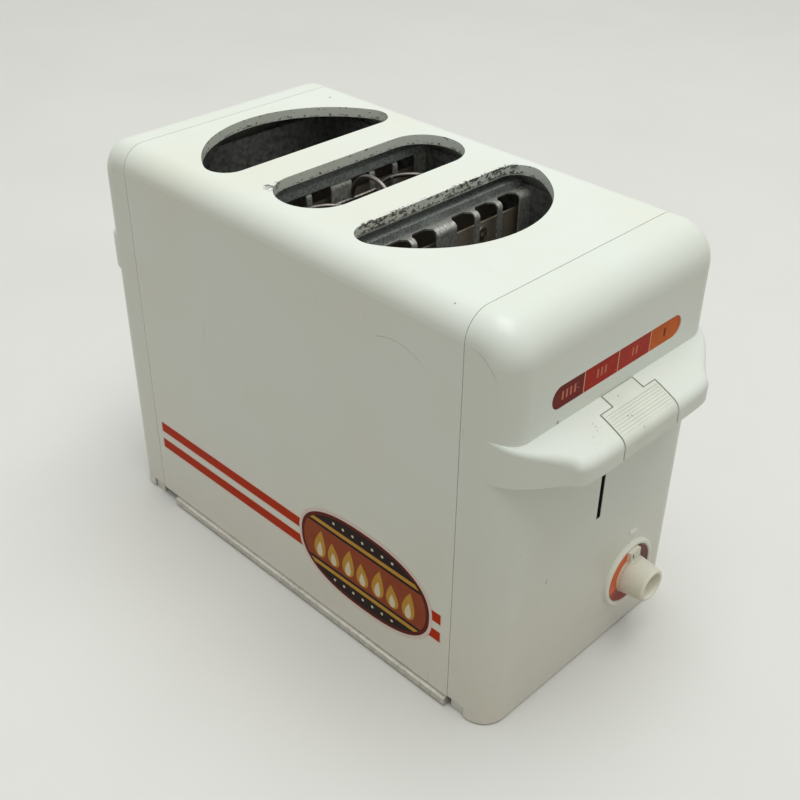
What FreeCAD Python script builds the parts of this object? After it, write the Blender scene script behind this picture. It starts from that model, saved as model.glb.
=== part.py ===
import FreeCAD, Part
import math
import os

# Hot dog toaster in millimetres. X runs along the body with the control end at +X,
# the striped side faces -Y, Z is up, and the origin is at the middle of the footprint.

# Body
body_width = 140.0
body_height = 210.0
shell_length = 222.0
cap_depth = 24.0
sheet = 1.0
edge_radius = 12.3
cap_top_radius = 18.0
cap_wall = 2.5
panel_bottom = 5.7
cap_bottom = 0.8
tongue_length = 5.0
fit_gap = 0.3

# Openings in the top
slots_x = -10.7
dog_slot_width = 39.5
dog_slot_length = 108.0
bridge_width = 20.2
bun_slot_depth = 50.0
bun_slot_radius = 61.0
bun_corner_radius = 11.0
lip_depth = 5.0

# Ledges on both ends
ledge_reach = 20.0
ledge_bottom = 140.0
ledge_root_z = 158.2
ledge_tip_rise = 3.1
ledge_drop = 6.7
ledge_round = 6.0
ledge_wall = 3.0
ledge_tip_round = 1.2
front_ledge_sweep = 45.0
front_ledge_turn = 20.0
rear_ledge_sweep = 34.0
rear_ledge_turn = 25.0
seam_gap = 0.35

# Push lever and its travel
lever_travel = 42.0
lever_width = 37.4
neck_width = 20.6
neck_depth = 6.0
lever_gap = 0.9
lever_grooves = 11
groove_width = 0.7
groove_depth = 0.25
groove_pitch = 1.3
groove_start = 8.0
groove_margin = 0.8
stem_thickness = 2.0
stem_height = 17.0
stem_top = 147.0
stem_slot_width = 3.0

# Cooking label and timer knob
label_length = 88.6
label_height = 10.6
label_z = 170.9
label_recess = 0.8
label_thickness = 0.4
label_fit = 0.15
knob_y = 32.5
knob_z = 34.5
bezel_radius = 18.7
bezel_width = 2.5
bezel_height = 2.0
disc_radius = 15.8
disc_thickness = 1.0
dial_thickness = 0.3
barrel_base_radius = 10.4
barrel_end_radius = 8.8
barrel_length = 14.0
barrel_dish_radius = 6.9
barrel_dish_depth = 6.0
barrel_floor_radius = 4.2
barrel_chamfer = 0.8
pointer_width = 8.0
pointer_height = 2.4
shaft_radius = 3.0
shaft_fit = 0.05
timer_width = 38.0
timer_height = 36.0
timer_depth = 17.0
gland_radius = 6.0
gland_flange = 2.0
gland_bore = 3.6
gland_inset = 30.0
gland_z = 20.0

# Frame inside
plate = 0.8
frame_z = 9.0
frame_thickness = 1.2
wall_inset = 11.5
wall_below_top = 11.0
front_plate_inset = 28.0
rear_plate_inset = 6.5
foot_length = 9.0
foot_width = 12.0
foot_inset = 1.0
foot_notch_top = 6.5
ear_length = 17.5
boss_beyond_seam = 13.5
boss_inset = 9.0
boss_radius = 4.0
boss_height = 16.0
screw_radius = 1.5
screw_head_radius = 3.0
screw_head = 1.6
screw_fit = 0.05
flange_depth = 10.0
flange_screw_y = 40.0

# Guards, heater cards and divider covers
guard_below_top = 13.0
guard_bottom = 30.0
guard_bend = 3.0
guard_shelf = 12.0
bun_guard_gap = 8.0
dog_guard_gap = 1.6
window_bottom = 40.0
window_shelf_cut = 6.0
window_corner = 2.5
centre_bar = 13.0
bar_width = 3.2
bar_pitch = 15.8
bars_each_side = 3
card_gap = 5.0
card_thickness = 1.0
card_bottom = 34.0
card_below_top = 22.0
ribbon_width = 2.0
ribbon_thickness = 0.5
ribbon_turns = 8
ribbon_margin = 9.0
cover_below_top = 10.0
eyelet_radius = 3.0
eyelet_hole = 1.7
eyelet_height = 1.2
eyelet_sides = 12

# Carriage
rod_inset = 8.0
rod_radius = 3.0
rod_below_top = 18.0
bush_radius = 6.0
bush_length = 26.0
bush_z = 121.0
spring_radius = 6.2
spring_wire = 0.7
spring_turns = 6
spring_seat = 0.1
lift_bar_inset = 7.0
lift_bar_height = 8.0
rack_z = 64.0
rack_thickness = 1.2
rack_tab_width = 10.0
rack_strip_width = 12.0
rack_finger_width = 5.0
rack_finger_rise = 6.0
bun_rack_width = 34.0
bun_rack_fingers = 5
dog_rack_fingers = 4
rack_slot_clearance = 1.0
yoke_inset = 19.0
arm_width = 24.0
keeper_rise = 12.0
keeper_y = 24.0
keeper_width = 14.0
keeper_reach = 12.0
magnet_width = 7.0
bracket_below_rod = 4.0
bracket_sheet = 1.5
bracket_width = 18.0
bracket_overhang = 6.0
bracket_flange = 12.0

# Switch and terminals
switch_offset = 12.0
switch_depth = 14.0
switch_width = 20.0
switch_height = 12.0
switch_y = -4.0
button_size = 4.0
button_rise = 2.0
terminal_offset = 8.0
terminal_depth = 14.0
terminal_width = 30.0
terminal_height = 13.0
terminal_gap = 1.0
terminal_pitch = 9.0
pocket_size = 5.0
pocket_depth = 5.0

# Hot dog cage
cage_ring_radius = 16.5
cage_wire = 1.1
cage_ring_y = 27.0
cage_thin_wire = 0.9
cage_below_top = 17.5
cage_clearance = 0.02
cage_tie_x = 14.0
cage_tie_half = 19.5
cage_floor_wire = 5.8
cage_posts_each = 6
wire_sides = 8

# Crumb tray
tray_front_gap = 0.5
tray_rear_gap = 13.0
tray_back_gap = 10.0
tray_floor = 2.5
tray_wall = 1.2
tray_height = 2.9
tray_lip_height = 4.6
tray_lip_reach = 2.0
rail_width = 4.0
foot_round = 0.8
vent_half = 7.0
vent_y = 36.0
vent_z = 110.0
vent_pitch = 25.0
vent_rows = 3

# Values worked out from those above
half_width = body_width / 2
seam_x = shell_length / 2
face_x = seam_x + cap_depth
inner_y = half_width - sheet
dog_half = dog_slot_width / 2
front_flat_x = slots_x + dog_half + bridge_width
rear_flat_x = slots_x - dog_half - bridge_width
frame_top = frame_z + frame_thickness
neck_x = face_x + neck_depth
wall_y = half_width - wall_inset
wall_top = body_height - wall_below_top
front_plate_x = seam_x - front_plate_inset
rear_plate_x = rear_plate_inset - seam_x
boss_x = seam_x + boss_beyond_seam
boss_y = half_width - boss_inset
guard_top = body_height - guard_below_top
card_top = body_height - card_below_top
cover_z = body_height - cover_below_top
rod_x = seam_x - rod_inset
rod_top = body_height - rod_below_top
lift_bar_y = half_width - lift_bar_inset
yoke_x = seam_x - yoke_inset
cage_top = body_height - cage_below_top
terminal_y = boss_radius + terminal_gap + terminal_width / 2 - boss_y
gland_y = half_width - gland_inset
tray_front_x = seam_x - tray_front_gap
tray_length = shell_length - tray_front_gap - tray_rear_gap
tray_depth = body_width - tray_back_gap


def block(x0, x1, y0, y1, z0, z1):
    return Part.makeBox(x1 - x0, y1 - y0, z1 - z0, FreeCAD.Vector(x0, y0, z0))


def prism(sides, radius, centre, length):
    """Regular prism on a centre, along a vector; radius is to its corners."""
    outline = wire_section(radius, centre, FreeCAD.Vector(length).normalize(), sides)
    return Part.Face(outline).extrude(length)


def cylinder(radius, length, x, y, z, direction):
    return Part.makeCylinder(radius, length, FreeCAD.Vector(x, y, z), FreeCAD.Vector(*direction))


def face_of(points_and_arcs):
    """Makes a face from a closed run of points; an entry of two points is an arc through the first."""
    edges = []
    start = FreeCAD.Vector(*points_and_arcs[0])
    here = start
    for entry in points_and_arcs[1:]:
        if isinstance(entry[0], tuple):
            middle = FreeCAD.Vector(*entry[0])
            end = FreeCAD.Vector(*entry[1])
            edges.append(Part.Arc(here, middle, end).toShape())
        else:
            end = FreeCAD.Vector(*entry)
            edges.append(Part.makeLine(here, end))
        here = end
    if (here - start).Length > 1e-6:
        edges.append(Part.makeLine(here, start))
    return Part.Face(Part.Wire(edges))


def grouped(shapes):
    return Part.makeCompound(shapes)



# Outlines of the three openings

def stadium(x, half_length, radius, z):
    straight = half_length - radius
    return face_of([
        (x - radius, -straight, z),
        ((x, -half_length, z), (x + radius, -straight, z)),
        (x + radius, straight, z),
        ((x, half_length, z), (x - radius, straight, z)),
    ])


def bun_outline(flat_x, side, grow, z):
    """D shape: straight edge at flat_x, bulging towards side, grown outwards by grow."""
    big_x = flat_x + side * (bun_slot_depth - bun_slot_radius)
    corner_x = flat_x + side * bun_corner_radius
    reach = bun_slot_radius - bun_corner_radius
    corner_y = math.sqrt(reach ** 2 - (corner_x - big_x) ** 2)
    radius = bun_slot_radius + grow
    corner = bun_corner_radius + grow
    along = math.atan2(corner_y, side * (corner_x - big_x))
    touch = (big_x + side * radius * math.cos(along), radius * math.sin(along))
    turn = (along + math.pi) / 2
    middle = (corner_x + side * corner * math.cos(turn), corner_y + corner * math.sin(turn))
    edge_x = flat_x - side * grow
    return face_of([
        (edge_x, -corner_y, z),
        (edge_x, corner_y, z),
        ((middle[0], middle[1], z), (touch[0], touch[1], z)),
        ((big_x + side * radius, 0, z), (touch[0], -touch[1], z)),
        ((middle[0], -middle[1], z), (edge_x, -corner_y, z)),
    ])


def opening_faces(grow, z):
    return [
        bun_outline(front_flat_x, 1, grow, z),
        stadium(slots_x, dog_slot_length / 2 + grow, dog_half + grow, z),
        bun_outline(rear_flat_x, -1, grow, z),
    ]


# Shell wrap

def wrap_section(inset, x, bottom):
    """Section of the body across X: straight sides and rounded top corners."""
    y = half_width - inset
    top = body_height - inset
    radius = edge_radius - inset
    bend = radius * (1 - math.sqrt(0.5))
    return face_of([
        (x, -y, bottom),
        (x, -y, top - radius),
        ((x, -y + bend, top - bend), (x, -y + radius, top)),
        (x, y - radius, top),
        ((x, y - bend, top - bend), (x, y, top - radius)),
        (x, y, bottom),
    ])


def shell_wrap():
    start = seam_gap - seam_x
    length = FreeCAD.Vector(shell_length - 2 * seam_gap, 0, 0)
    outer = wrap_section(0, start, panel_bottom).extrude(length)
    inner = wrap_section(sheet, start, panel_bottom - 1).extrude(length)
    shell = outer.cut(inner)
    lip_bottom = body_height - lip_depth
    depth = FreeCAD.Vector(0, 0, lip_depth)
    lips = [face.extrude(depth) for face in opening_faces(sheet, lip_bottom)]
    holes = [face.extrude(depth * 2) for face in opening_faces(0, lip_bottom - lip_depth / 2)]
    return shell.fuse(lips).cut(holes).removeSplitter()


# Moulded end caps

def cap_body(side, inset, bottom, seam):
    """End body from the seam to the outer face, with one radius all round its side faces."""
    face = side * (face_x - inset)
    top = body_height - inset
    radius = cap_top_radius - inset
    bend = radius * (1 - math.sqrt(0.5))
    y = half_width - inset
    section = face_of([
        (side * seam, -y, bottom),
        (side * seam, -y, top),
        (face - side * radius, -y, top),
        ((face - side * bend, -y, top - bend), (face, -y, top - radius)),
        (face, -y, bottom),
    ])
    solid = section.extrude(FreeCAD.Vector(0, 2 * y, 0))
    rounded = []
    for edge in solid.Edges:
        box = edge.BoundBox
        flat_in_y = box.YLength < 1e-6
        on_seam = box.XLength < 1e-6 and abs(box.XMin - side * seam) < 1e-6
        on_bottom = box.ZLength < 1e-6 and abs(box.ZMin - bottom) < 1e-6
        if flat_in_y and not on_seam and not on_bottom:
            rounded.append(edge)
    return solid.makeFillet(edge_radius - inset, rounded)


def ledge_profile(inset, y):
    """Top line of a ledge: an arc that starts over the cap and drops towards the outer edge."""
    tip_z = ledge_root_z + ledge_tip_rise - inset
    root_z = ledge_root_z - inset
    slope = ledge_drop / (ledge_reach * 0.72)
    edge_z = root_z - slope * (ledge_reach + 1)
    return (face_x - edge_radius, y, tip_z), (face_x, y, root_z), (face_x + ledge_reach + 1, y, edge_z)


def ledge_outline(sweep, turn, inset, z):
    """Curve of a ledge's plan, from the side of the body round to the front edge."""
    reach = ledge_reach + edge_radius
    flat = half_width - sweep
    wide = (reach ** 2 + (sweep - turn) ** 2 - turn ** 2) / (2 * (reach - turn))
    side_x = face_x - edge_radius
    side_y = half_width - turn
    front_x = face_x + ledge_reach - wide
    joint = math.atan2(side_y - flat, side_x - front_x)
    places = [
        (side_x, side_y, turn, math.pi / 2),
        (side_x, side_y, turn, (joint + math.pi / 2) / 2),
        (side_x, side_y, turn, joint),
        (front_x, flat, wide, joint / 2),
        (front_x, flat, wide, 0),
    ]
    points = [FreeCAD.Vector(x + (radius - inset) * math.cos(angle), y + (radius - inset) * math.sin(angle), z)
              for x, y, radius, angle in places]
    curve = Part.BSplineCurve()
    curve.interpolate(Points=points, InitialTangent=FreeCAD.Vector(reach, 0, 0),
                      FinalTangent=FreeCAD.Vector(0, -reach, 0))
    return curve.toShape(), points[0], points[-1]


def ledge_half(sweep, turn, inset, bottom):
    """The +X and +Y quarter of the ledges; its rim rounding dies away towards the side."""
    outline, end, front = ledge_outline(sweep, turn, inset, bottom)
    inside = seam_x + 1
    corner = FreeCAD.Vector(inside, end.y, bottom)
    centre = FreeCAD.Vector(inside, 0, bottom)
    middle = FreeCAD.Vector(front.x, 0, bottom)
    plan = Part.Face(Part.Wire([
        Part.makeLine(centre, corner),
        Part.makeLine(corner, end),
        outline,
        Part.makeLine(front, middle),
        Part.makeLine(middle, centre),
    ]))
    solid = plan.extrude(FreeCAD.Vector(0, 0, body_height - bottom))
    back_point, face_point, outer_point = ledge_profile(inset, -1)
    above = body_height + 1
    top = face_of([
        back_point,
        (face_point, outer_point),
        (outer_point[0], outer_point[1], above),
        (inside - 1, outer_point[1], above),
        (inside - 1, outer_point[1], back_point[2]),
    ]).extrude(FreeCAD.Vector(0, body_width, 0))
    solid = solid.cut(top)
    if inset > 0:
        return solid
    rim = [e for e in solid.Edges if e.BoundBox.ZMin > bottom + 2 and e.BoundBox.XMax > front.x - 1e-3
           and e.BoundBox.XLength > 1 and e.BoundBox.YLength > 1]
    return solid.makeFillet(ledge_round, ledge_tip_round, rim)


def ledge_solid(side, sweep, turn, inset, bottom):
    """Wing-shaped ledge: its plan is straight in the middle and swept back to the sides."""
    half = ledge_half(sweep, turn, inset, bottom)
    centre = FreeCAD.Vector(0, 0, 0)
    solid = half.fuse(half.mirror(centre, FreeCAD.Vector(0, 1, 0))).removeSplitter()
    if side < 0:
        return solid.mirror(centre, FreeCAD.Vector(1, 0, 0))
    return solid


def lever_window(gap):
    """Plan of the lever and its neck, widened by gap, as a tall T-shaped prism."""
    wide = lever_width / 2 + gap
    narrow = neck_width / 2 + gap
    start = neck_x + lever_gap / 2 - gap / 2
    outer = face_x + ledge_reach + 2
    top = ledge_root_z + 10
    bottom = ledge_bottom - 2
    main = block(start, outer, -wide, wide, bottom, top)
    neck = block(face_x, start + 1, -narrow, narrow, bottom, top)
    return main.fuse(neck)


def base_notch(side):
    """Notch in the lower edge of a cap, where a foot shows."""
    start = side * (seam_x - 1)
    end = side * (seam_x + foot_length + 1)
    low = min(start, end)
    high = max(start, end)
    return block(low, high, -half_width - 1, half_width + 1, cap_bottom - 1, foot_notch_top)


def tongue(side):
    """Lip of the cap that reaches under the sheet of the wrap, along its sides and top."""
    outer = wrap_section(sheet + 0.1, side * (seam_x - tongue_length), panel_bottom + 25)
    inner = wrap_section(cap_wall + sheet, side * (seam_x - tongue_length), panel_bottom + 24)
    length = FreeCAD.Vector(side * (tongue_length + 1.5), 0, 0)
    return outer.extrude(length).cut(inner.extrude(length))


def cap_shell(side, sweep, turn):
    """Hollow cap with its ledge, tongue, screw bosses and foot notch."""
    outer = cap_body(side, 0, cap_bottom, seam_x)
    inner = cap_body(side, cap_wall, cap_bottom - 5, seam_x - 1)
    solid = ledge_solid(side, sweep, turn, 0, ledge_bottom)
    hollow = ledge_solid(side, sweep, turn, ledge_wall, ledge_bottom - 1)
    skin = solid.cut([hollow, outer])
    extras = [skin, tongue(side)] + cap_bosses(side, inner)
    cheek = lever_window(lever_gap + ledge_wall).common(solid).cut(outer)
    if side > 0:
        extras.append(cheek)
    return outer.cut(inner).fuse(extras).cut(base_notch(side))


def front_cap():
    slot_low = stem_top - stem_height - lever_travel - 1
    slot = block(timer_front_x() - 1, face_x + 1, -stem_slot_width / 2, stem_slot_width / 2,
                 slot_low, stem_top + 1)
    shaft_hole = cylinder(shaft_radius + 2 * fit_gap, cap_wall + 2, timer_front_x() - 1, knob_y, knob_z,
                          (1, 0, 0))
    recess = label_plan(label_fit, label_recess + 1)
    window = lever_window(lever_gap)
    cap = cap_shell(1, front_ledge_sweep, front_ledge_turn)
    return cap.cut([window, slot, shaft_hole, recess]).removeSplitter()


def rear_cap():
    gland_hole = cylinder(gland_radius, cap_wall + 2, -face_x - 1, gland_y, gland_z, (1, 0, 0))
    cap = cap_shell(-1, rear_ledge_sweep, rear_ledge_turn)
    return cap.cut(gland_hole).removeSplitter()


# Cord gland in the rear cap

def cord_gland():
    flange = cylinder(gland_radius + 2, gland_flange, -face_x - gland_flange, gland_y, gland_z, (1, 0, 0))
    rim = [e for e in flange.Edges if e.BoundBox.XMax < -face_x - gland_flange + 1e-6]
    flange = flange.makeChamfer(gland_flange * 0.4, rim)
    sleeve = cylinder(gland_radius - shaft_fit, cap_wall + 4, -face_x - 0.5, gland_y, gland_z, (1, 0, 0))
    bore = cylinder(gland_bore, 20, -face_x - 5, gland_y, gland_z, (1, 0, 0))
    return flange.fuse(sleeve).cut(bore).removeSplitter()


# Front controls

def label_plan(grow, thickness):
    half = label_length / 2
    end = label_height / 2 + grow
    straight = half - label_height / 2
    x = face_x - label_recess
    return face_of([
        (x, -straight, label_z - end),
        (x, straight, label_z - end),
        ((x, straight + end, label_z), (x, straight, label_z + end)),
        (x, -straight, label_z + end),
        ((x, -straight - end, label_z), (x, -straight, label_z - end)),
    ]).extrude(FreeCAD.Vector(thickness, 0, 0))


def cook_label():
    return label_plan(0, label_thickness)


def push_lever():
    solid = ledge_solid(1, front_ledge_sweep, front_ledge_turn, 0, ledge_bottom)
    hollow = ledge_solid(1, front_ledge_sweep, front_ledge_turn, ledge_wall, ledge_bottom - 1)
    wall_start = neck_x + ledge_wall + lever_gap
    side_y = lever_width / 2 - ledge_wall
    pocket = hollow.common(block(wall_start, face_x + ledge_reach, -side_y, side_y, 0, body_height))
    start = face_x + fit_gap
    outline = lever_window(0).cut(block(face_x - 1, start, -half_width, half_width, 0, body_height))
    boss = block(start, face_x + ledge_reach - 4, -stem_thickness * 2, stem_thickness * 2,
                 ledge_bottom, ledge_root_z).common(solid)
    lever = solid.common(outline).cut(pocket).fuse(boss)
    socket = block(start - 1, stem_end_x() + 0.1, -stem_thickness / 2 - 0.05, stem_thickness / 2 + 0.05,
                   ledge_bottom - 1, stem_top + 0.1)
    grooves = []
    reach_y = lever_width / 2 - groove_margin
    for i in range(lever_grooves):
        x = face_x + groove_start + i * groove_pitch
        low = top_line_height(x) - groove_depth
        grooves.append(block(x, x + groove_width, -reach_y, reach_y, low, low + 3))
    return lever.cut([socket] + grooves).removeSplitter()


def top_line_height(x):
    """Height of the ledge's top line at x, from the circle that it follows."""
    back_point, face_point, outer_point = ledge_profile(0, 0)
    circle = Part.Arc(FreeCAD.Vector(*back_point), FreeCAD.Vector(*face_point),
                      FreeCAD.Vector(*outer_point)).toShape().Curve
    return circle.Center.z + math.sqrt(circle.Radius ** 2 - (x - circle.Center.x) ** 2)


def stem_end_x():
    return face_x + ledge_reach - 8


def dial_bezel():
    outer = cylinder(bezel_radius, bezel_height, face_x, knob_y, knob_z, (1, 0, 0))
    inner = cylinder(bezel_radius - bezel_width, bezel_height + 2, face_x - 1, knob_y, knob_z, (1, 0, 0))
    ring = outer.cut(inner)
    rims = [e for e in ring.Edges if abs(e.BoundBox.XMin - face_x - bezel_height) < 1e-6]
    return ring.makeChamfer(bezel_height * 0.3, rims)


def disc_x():
    return face_x + fit_gap


def timer_knob():
    x = disc_x()
    disc = cylinder(disc_radius, disc_thickness, x, knob_y, knob_z, (1, 0, 0))
    barrel = Part.makeCone(barrel_base_radius, barrel_end_radius, barrel_length,
                           FreeCAD.Vector(x + disc_thickness, knob_y, knob_z), FreeCAD.Vector(1, 0, 0))
    end_x = x + disc_thickness + barrel_length
    rim = [e for e in barrel.Edges if abs(e.BoundBox.XMin - end_x) < 1e-6]
    barrel = barrel.makeChamfer(barrel_chamfer, rim)
    dish = Part.makeCone(barrel_floor_radius, barrel_dish_radius, barrel_dish_depth,
                         FreeCAD.Vector(end_x - barrel_dish_depth, knob_y, knob_z), FreeCAD.Vector(1, 0, 0))
    blade = block(x, x + disc_thickness + pointer_height, knob_y - pointer_width / 2,
                  knob_y + pointer_width / 2, knob_z, knob_z + disc_radius - 0.2)
    blade = blade.common(cylinder(disc_radius, 10, x, knob_y, knob_z, (1, 0, 0)))
    bore = cylinder(shaft_radius, 7.5, x - 1, knob_y, knob_z, (1, 0, 0))
    return disc.fuse([barrel, blade]).cut([dish, bore]).removeSplitter()


def dial_label():
    x = disc_x() + disc_thickness
    ring = cylinder(disc_radius - 0.1, dial_thickness, x, knob_y, knob_z, (1, 0, 0))
    hole = cylinder(barrel_base_radius + 0.2, dial_thickness + 2, x - 1, knob_y, knob_z, (1, 0, 0))
    gap = block(x - 1, x + 2, knob_y - pointer_width / 2 - 0.1, knob_y + pointer_width / 2 + 0.1,
                knob_z, knob_z + disc_radius + 1)
    return ring.cut([hole, gap])


def timer_front_x():
    return face_x - cap_wall


def timer_body():
    x = timer_front_x()
    low_z = knob_z - timer_height / 2
    case = block(x - timer_depth, x, knob_y - timer_width / 2, knob_y + timer_width / 2,
                 max(low_z, frame_top), knob_z + timer_height / 2)
    case = case.makeFillet(2.0, [e for e in case.Edges if e.BoundBox.XLength > 1])
    hub = cylinder(shaft_radius + 3.5, 4, x - timer_depth - 4, knob_y, knob_z, (1, 0, 0))
    bore = cylinder(shaft_radius + shaft_fit, timer_depth + 2, x - timer_depth + 3, knob_y, knob_z, (1, 0, 0))
    return case.fuse(hub).cut(bore)


def timer_shaft():
    start = timer_front_x() - timer_depth + 3.5
    end = disc_x() + 6.5
    return cylinder(shaft_radius, end - start, start, knob_y, knob_z, (1, 0, 0))


# Frame

def tray_rear_x():
    return tray_front_x - tray_length


def base_frame():
    """Pressed steel base with a crumb opening, a flange at the back and two runners for the tray."""
    top = block(-seam_x, seam_x, -inner_y, inner_y, frame_z, frame_top)
    crumb_hole = block(rear_plate_x + 8, front_plate_x - 4, -wall_y + 6, wall_y - 6, frame_z - 1, frame_top + 1)
    flange = block(-seam_x, seam_x, inner_y - frame_thickness, inner_y, panel_bottom, frame_top)
    rail_y = inner_y - cap_wall
    rail_z = tray_floor - fit_gap
    runners = []
    for side, edge in ((-1, tray_rear_x() - fit_gap), (1, tray_front_x + fit_gap)):
        web_x = edge + side * frame_thickness
        rail_x = edge - side * rail_width
        runners.append(block(min(edge, web_x), max(edge, web_x), -rail_y, rail_y, rail_z - frame_thickness,
                             frame_z + 0.5))
        runners.append(block(min(rail_x, web_x), max(rail_x, web_x), -rail_y, rail_y,
                             rail_z - frame_thickness, rail_z))
    ear_y = boss_y + boss_radius - 1
    ear_x = seam_x + ear_length
    ears = block(-ear_x, ear_x, -ear_y, ear_y, frame_z, frame_top)
    frame = top.fuse([flange, ears] + runners).cut(crumb_hole)
    holes = [cylinder(rod_radius, frame_thickness + 2, rod_x, 0, frame_z - 1, (0, 0, 1))]
    for x, y in cap_screw_places() + flange_screw_places():
        holes.append(screw_hole(x, y, frame_z - 1, frame_thickness + 2))
    return frame.cut(holes).removeSplitter()


def feet():
    """Four corner feet; the outer part of each shows in a notch of its cap."""
    pads = []
    for side in (-1, 1):
        for y_side in (-1, 1):
            start = side * (seam_x + frame_thickness + 2 * fit_gap)
            end = side * (seam_x + foot_length)
            x0 = min(start, end)
            x1 = max(start, end)
            outer = y_side * (half_width - foot_inset)
            middle = y_side * (half_width - cap_wall - fit_gap)
            inner = y_side * (half_width - foot_inset - foot_width)
            body = block(x0, x1, min(middle, inner), max(middle, inner), 0, frame_z)
            toe = block(x0, x1, min(outer, inner), max(outer, inner), 0, foot_notch_top - fit_gap)
            pad = body.fuse(toe).removeSplitter()
            low = [e for e in pad.Edges if e.BoundBox.ZMax < 1e-6]
            pads.append(pad.makeFillet(foot_round, low))
    return grouped(pads)


def cross_plate(x, height, flange_side):
    """Upright plate across the body with a foot flange that is screwed to the base."""
    half = wall_y + plate
    panel = block(x, x + plate, -half, half, frame_top, height)
    edge = x + plate / 2 + flange_side * (flange_depth - plate / 2)
    back = x + plate / 2
    flange = block(min(edge, back), max(edge, back), -wall_y + 4, wall_y - 4, frame_top, frame_top + plate)
    holes = [screw_hole(px, py, frame_top - 1, plate + 2) for px, py in flange_screw_places()]
    return panel.fuse(flange).cut(holes)


def front_bulkhead():
    vents = []
    for y in (-vent_y, vent_y):
        for i in range(vent_rows):
            z = vent_z + i * vent_pitch
            vents.append(block(front_plate_x - 1, front_plate_x + plate + 1, y - vent_half, y + vent_half,
                               z - vent_half, z + vent_half))
    return cross_plate(front_plate_x, wall_top, 1).cut(vents).removeSplitter()


def rear_bulkhead():
    return cross_plate(rear_plate_x, wall_top, -1).removeSplitter()


def cap_screw_places():
    return [(x, y) for x in (-boss_x, boss_x) for y in (-boss_y, boss_y)]


def flange_screw_places():
    xs = (rear_plate_x - flange_depth / 2, front_plate_x + flange_depth / 2 + plate)
    return [(x, side * flange_screw_y) for x in xs for side in (-1, 1)]


def screw_hole(x, y, z, length):
    return cylinder(screw_radius + screw_fit, length, x, y, z, (0, 0, 1))


def screws(places, seat_z, up, length):
    """Hexagon-headed screws whose heads sit on seat_z; up is the side that the heads are on."""
    made = []
    for x, y in places:
        head = prism(6, screw_head_radius, FreeCAD.Vector(x, y, seat_z), FreeCAD.Vector(0, 0, up * screw_head))
        shank = cylinder(screw_radius, length, x, y, seat_z, (0, 0, -up))
        made.append(head.fuse(shank).removeSplitter())
    return grouped(made)


def cap_screws():
    return screws(cap_screw_places(), frame_z, -1, frame_thickness + boss_height * 0.6)


def frame_screws():
    return screws(flange_screw_places(), frame_top + plate, 1, frame_thickness + plate + 1)


def cap_bosses(side, inner):
    """Screw bosses of a cap, joined to its side walls."""
    made = []
    for y_side in (-1, 1):
        boss = cylinder(boss_radius, boss_height, side * boss_x, y_side * boss_y, frame_top, (0, 0, 1))
        web = block(side * boss_x - 1.5, side * boss_x + 1.5, min(y_side * boss_y, y_side * half_width),
                    max(y_side * boss_y, y_side * half_width), frame_top, frame_top + boss_height)
        bore = screw_hole(side * boss_x, y_side * boss_y, frame_top - 1, boss_height * 0.8)
        made.append(boss.fuse(web).common(inner).cut(bore))
    return made


def rack_centres():
    front = (front_flat_x + bun_guard_gap + front_plate_x) / 2
    rear = (rear_flat_x - bun_guard_gap + rear_plate_x + plate) / 2
    return front, slots_x, rear


def inner_wall(y_side):
    start = rear_plate_x + plate
    low = min(y_side * wall_y, y_side * (wall_y + plate))
    high = max(y_side * wall_y, y_side * (wall_y + plate))
    wall = block(start, front_plate_x, low, high, frame_top, wall_top)
    half = rack_tab_width / 2 + rack_slot_clearance
    slots = []
    for x in rack_centres():
        slots.append(block(x - half, x + half, low - 1, high + 1,
                           rack_z - lever_travel - 2, rack_z + rack_thickness + 2))
    return wall.cut(slots)


def inner_wall_left():
    return inner_wall(-1)


def inner_wall_right():
    return inner_wall(1)


# Guards and heater cards

def window_spans():
    """Pairs of y values between the bars of a guard, on the +Y half."""
    spans = []
    start = centre_bar / 2
    for i in range(bars_each_side):
        bar = centre_bar / 2 + (i + 1) * bar_pitch - bar_width
        spans.append((start, bar))
        start = bar + bar_width
    return spans


def guard(skirt_x, side):
    """Bent sheet: a shelf at the top and a skirt with windows that also cut the bend."""
    outer_x = skirt_x
    inner_x = skirt_x - side * plate
    shelf_x = skirt_x - side * guard_shelf
    low = min(outer_x, inner_x)
    skirt = block(low, low + plate, -wall_y, wall_y, guard_bottom, guard_top)
    shelf = block(min(shelf_x, outer_x), max(shelf_x, outer_x), -wall_y, wall_y, guard_top - plate, guard_top)
    sheet_part = skirt.fuse(shelf).removeSplitter()
    corner = [e for e in sheet_part.Edges
              if e.BoundBox.YLength > wall_y and abs(e.BoundBox.ZMin - guard_top) < 1e-6
              and abs(e.BoundBox.XMin - outer_x) < 1e-6]
    sheet_part = sheet_part.makeFillet(guard_bend, corner)
    inside = [e for e in sheet_part.Edges
              if e.BoundBox.YLength > wall_y and abs(e.BoundBox.ZMin - guard_top + plate) < 1e-6
              and abs(e.BoundBox.XMin - inner_x) < 1e-6]
    sheet_part = sheet_part.makeFillet(guard_bend - plate, inside)
    cuts = []
    for start, end in window_spans():
        for y_side in (-1, 1):
            y0 = min(y_side * start, y_side * end)
            x0 = min(outer_x + side, skirt_x - side * window_shelf_cut)
            x1 = max(outer_x + side, skirt_x - side * window_shelf_cut)
            cut = block(x0, x1, y0, y0 + end - start, window_bottom, guard_top + 1)
            back_edges = [e for e in cut.Edges if e.BoundBox.ZLength > 9
                          and abs(e.BoundBox.XMin - (skirt_x - side * window_shelf_cut)) < 1e-6]
            cuts.append(cut.makeChamfer(window_corner, back_edges))
    return sheet_part.cut(cuts)


def guard_positions():
    return {
        "bun_front": (front_flat_x + bun_guard_gap, 1),
        "dog_front": (slots_x + dog_half + dog_guard_gap, -1),
        "dog_rear": (slots_x - dog_half - dog_guard_gap, 1),
        "bun_rear": (rear_flat_x - bun_guard_gap, -1),
    }


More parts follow.
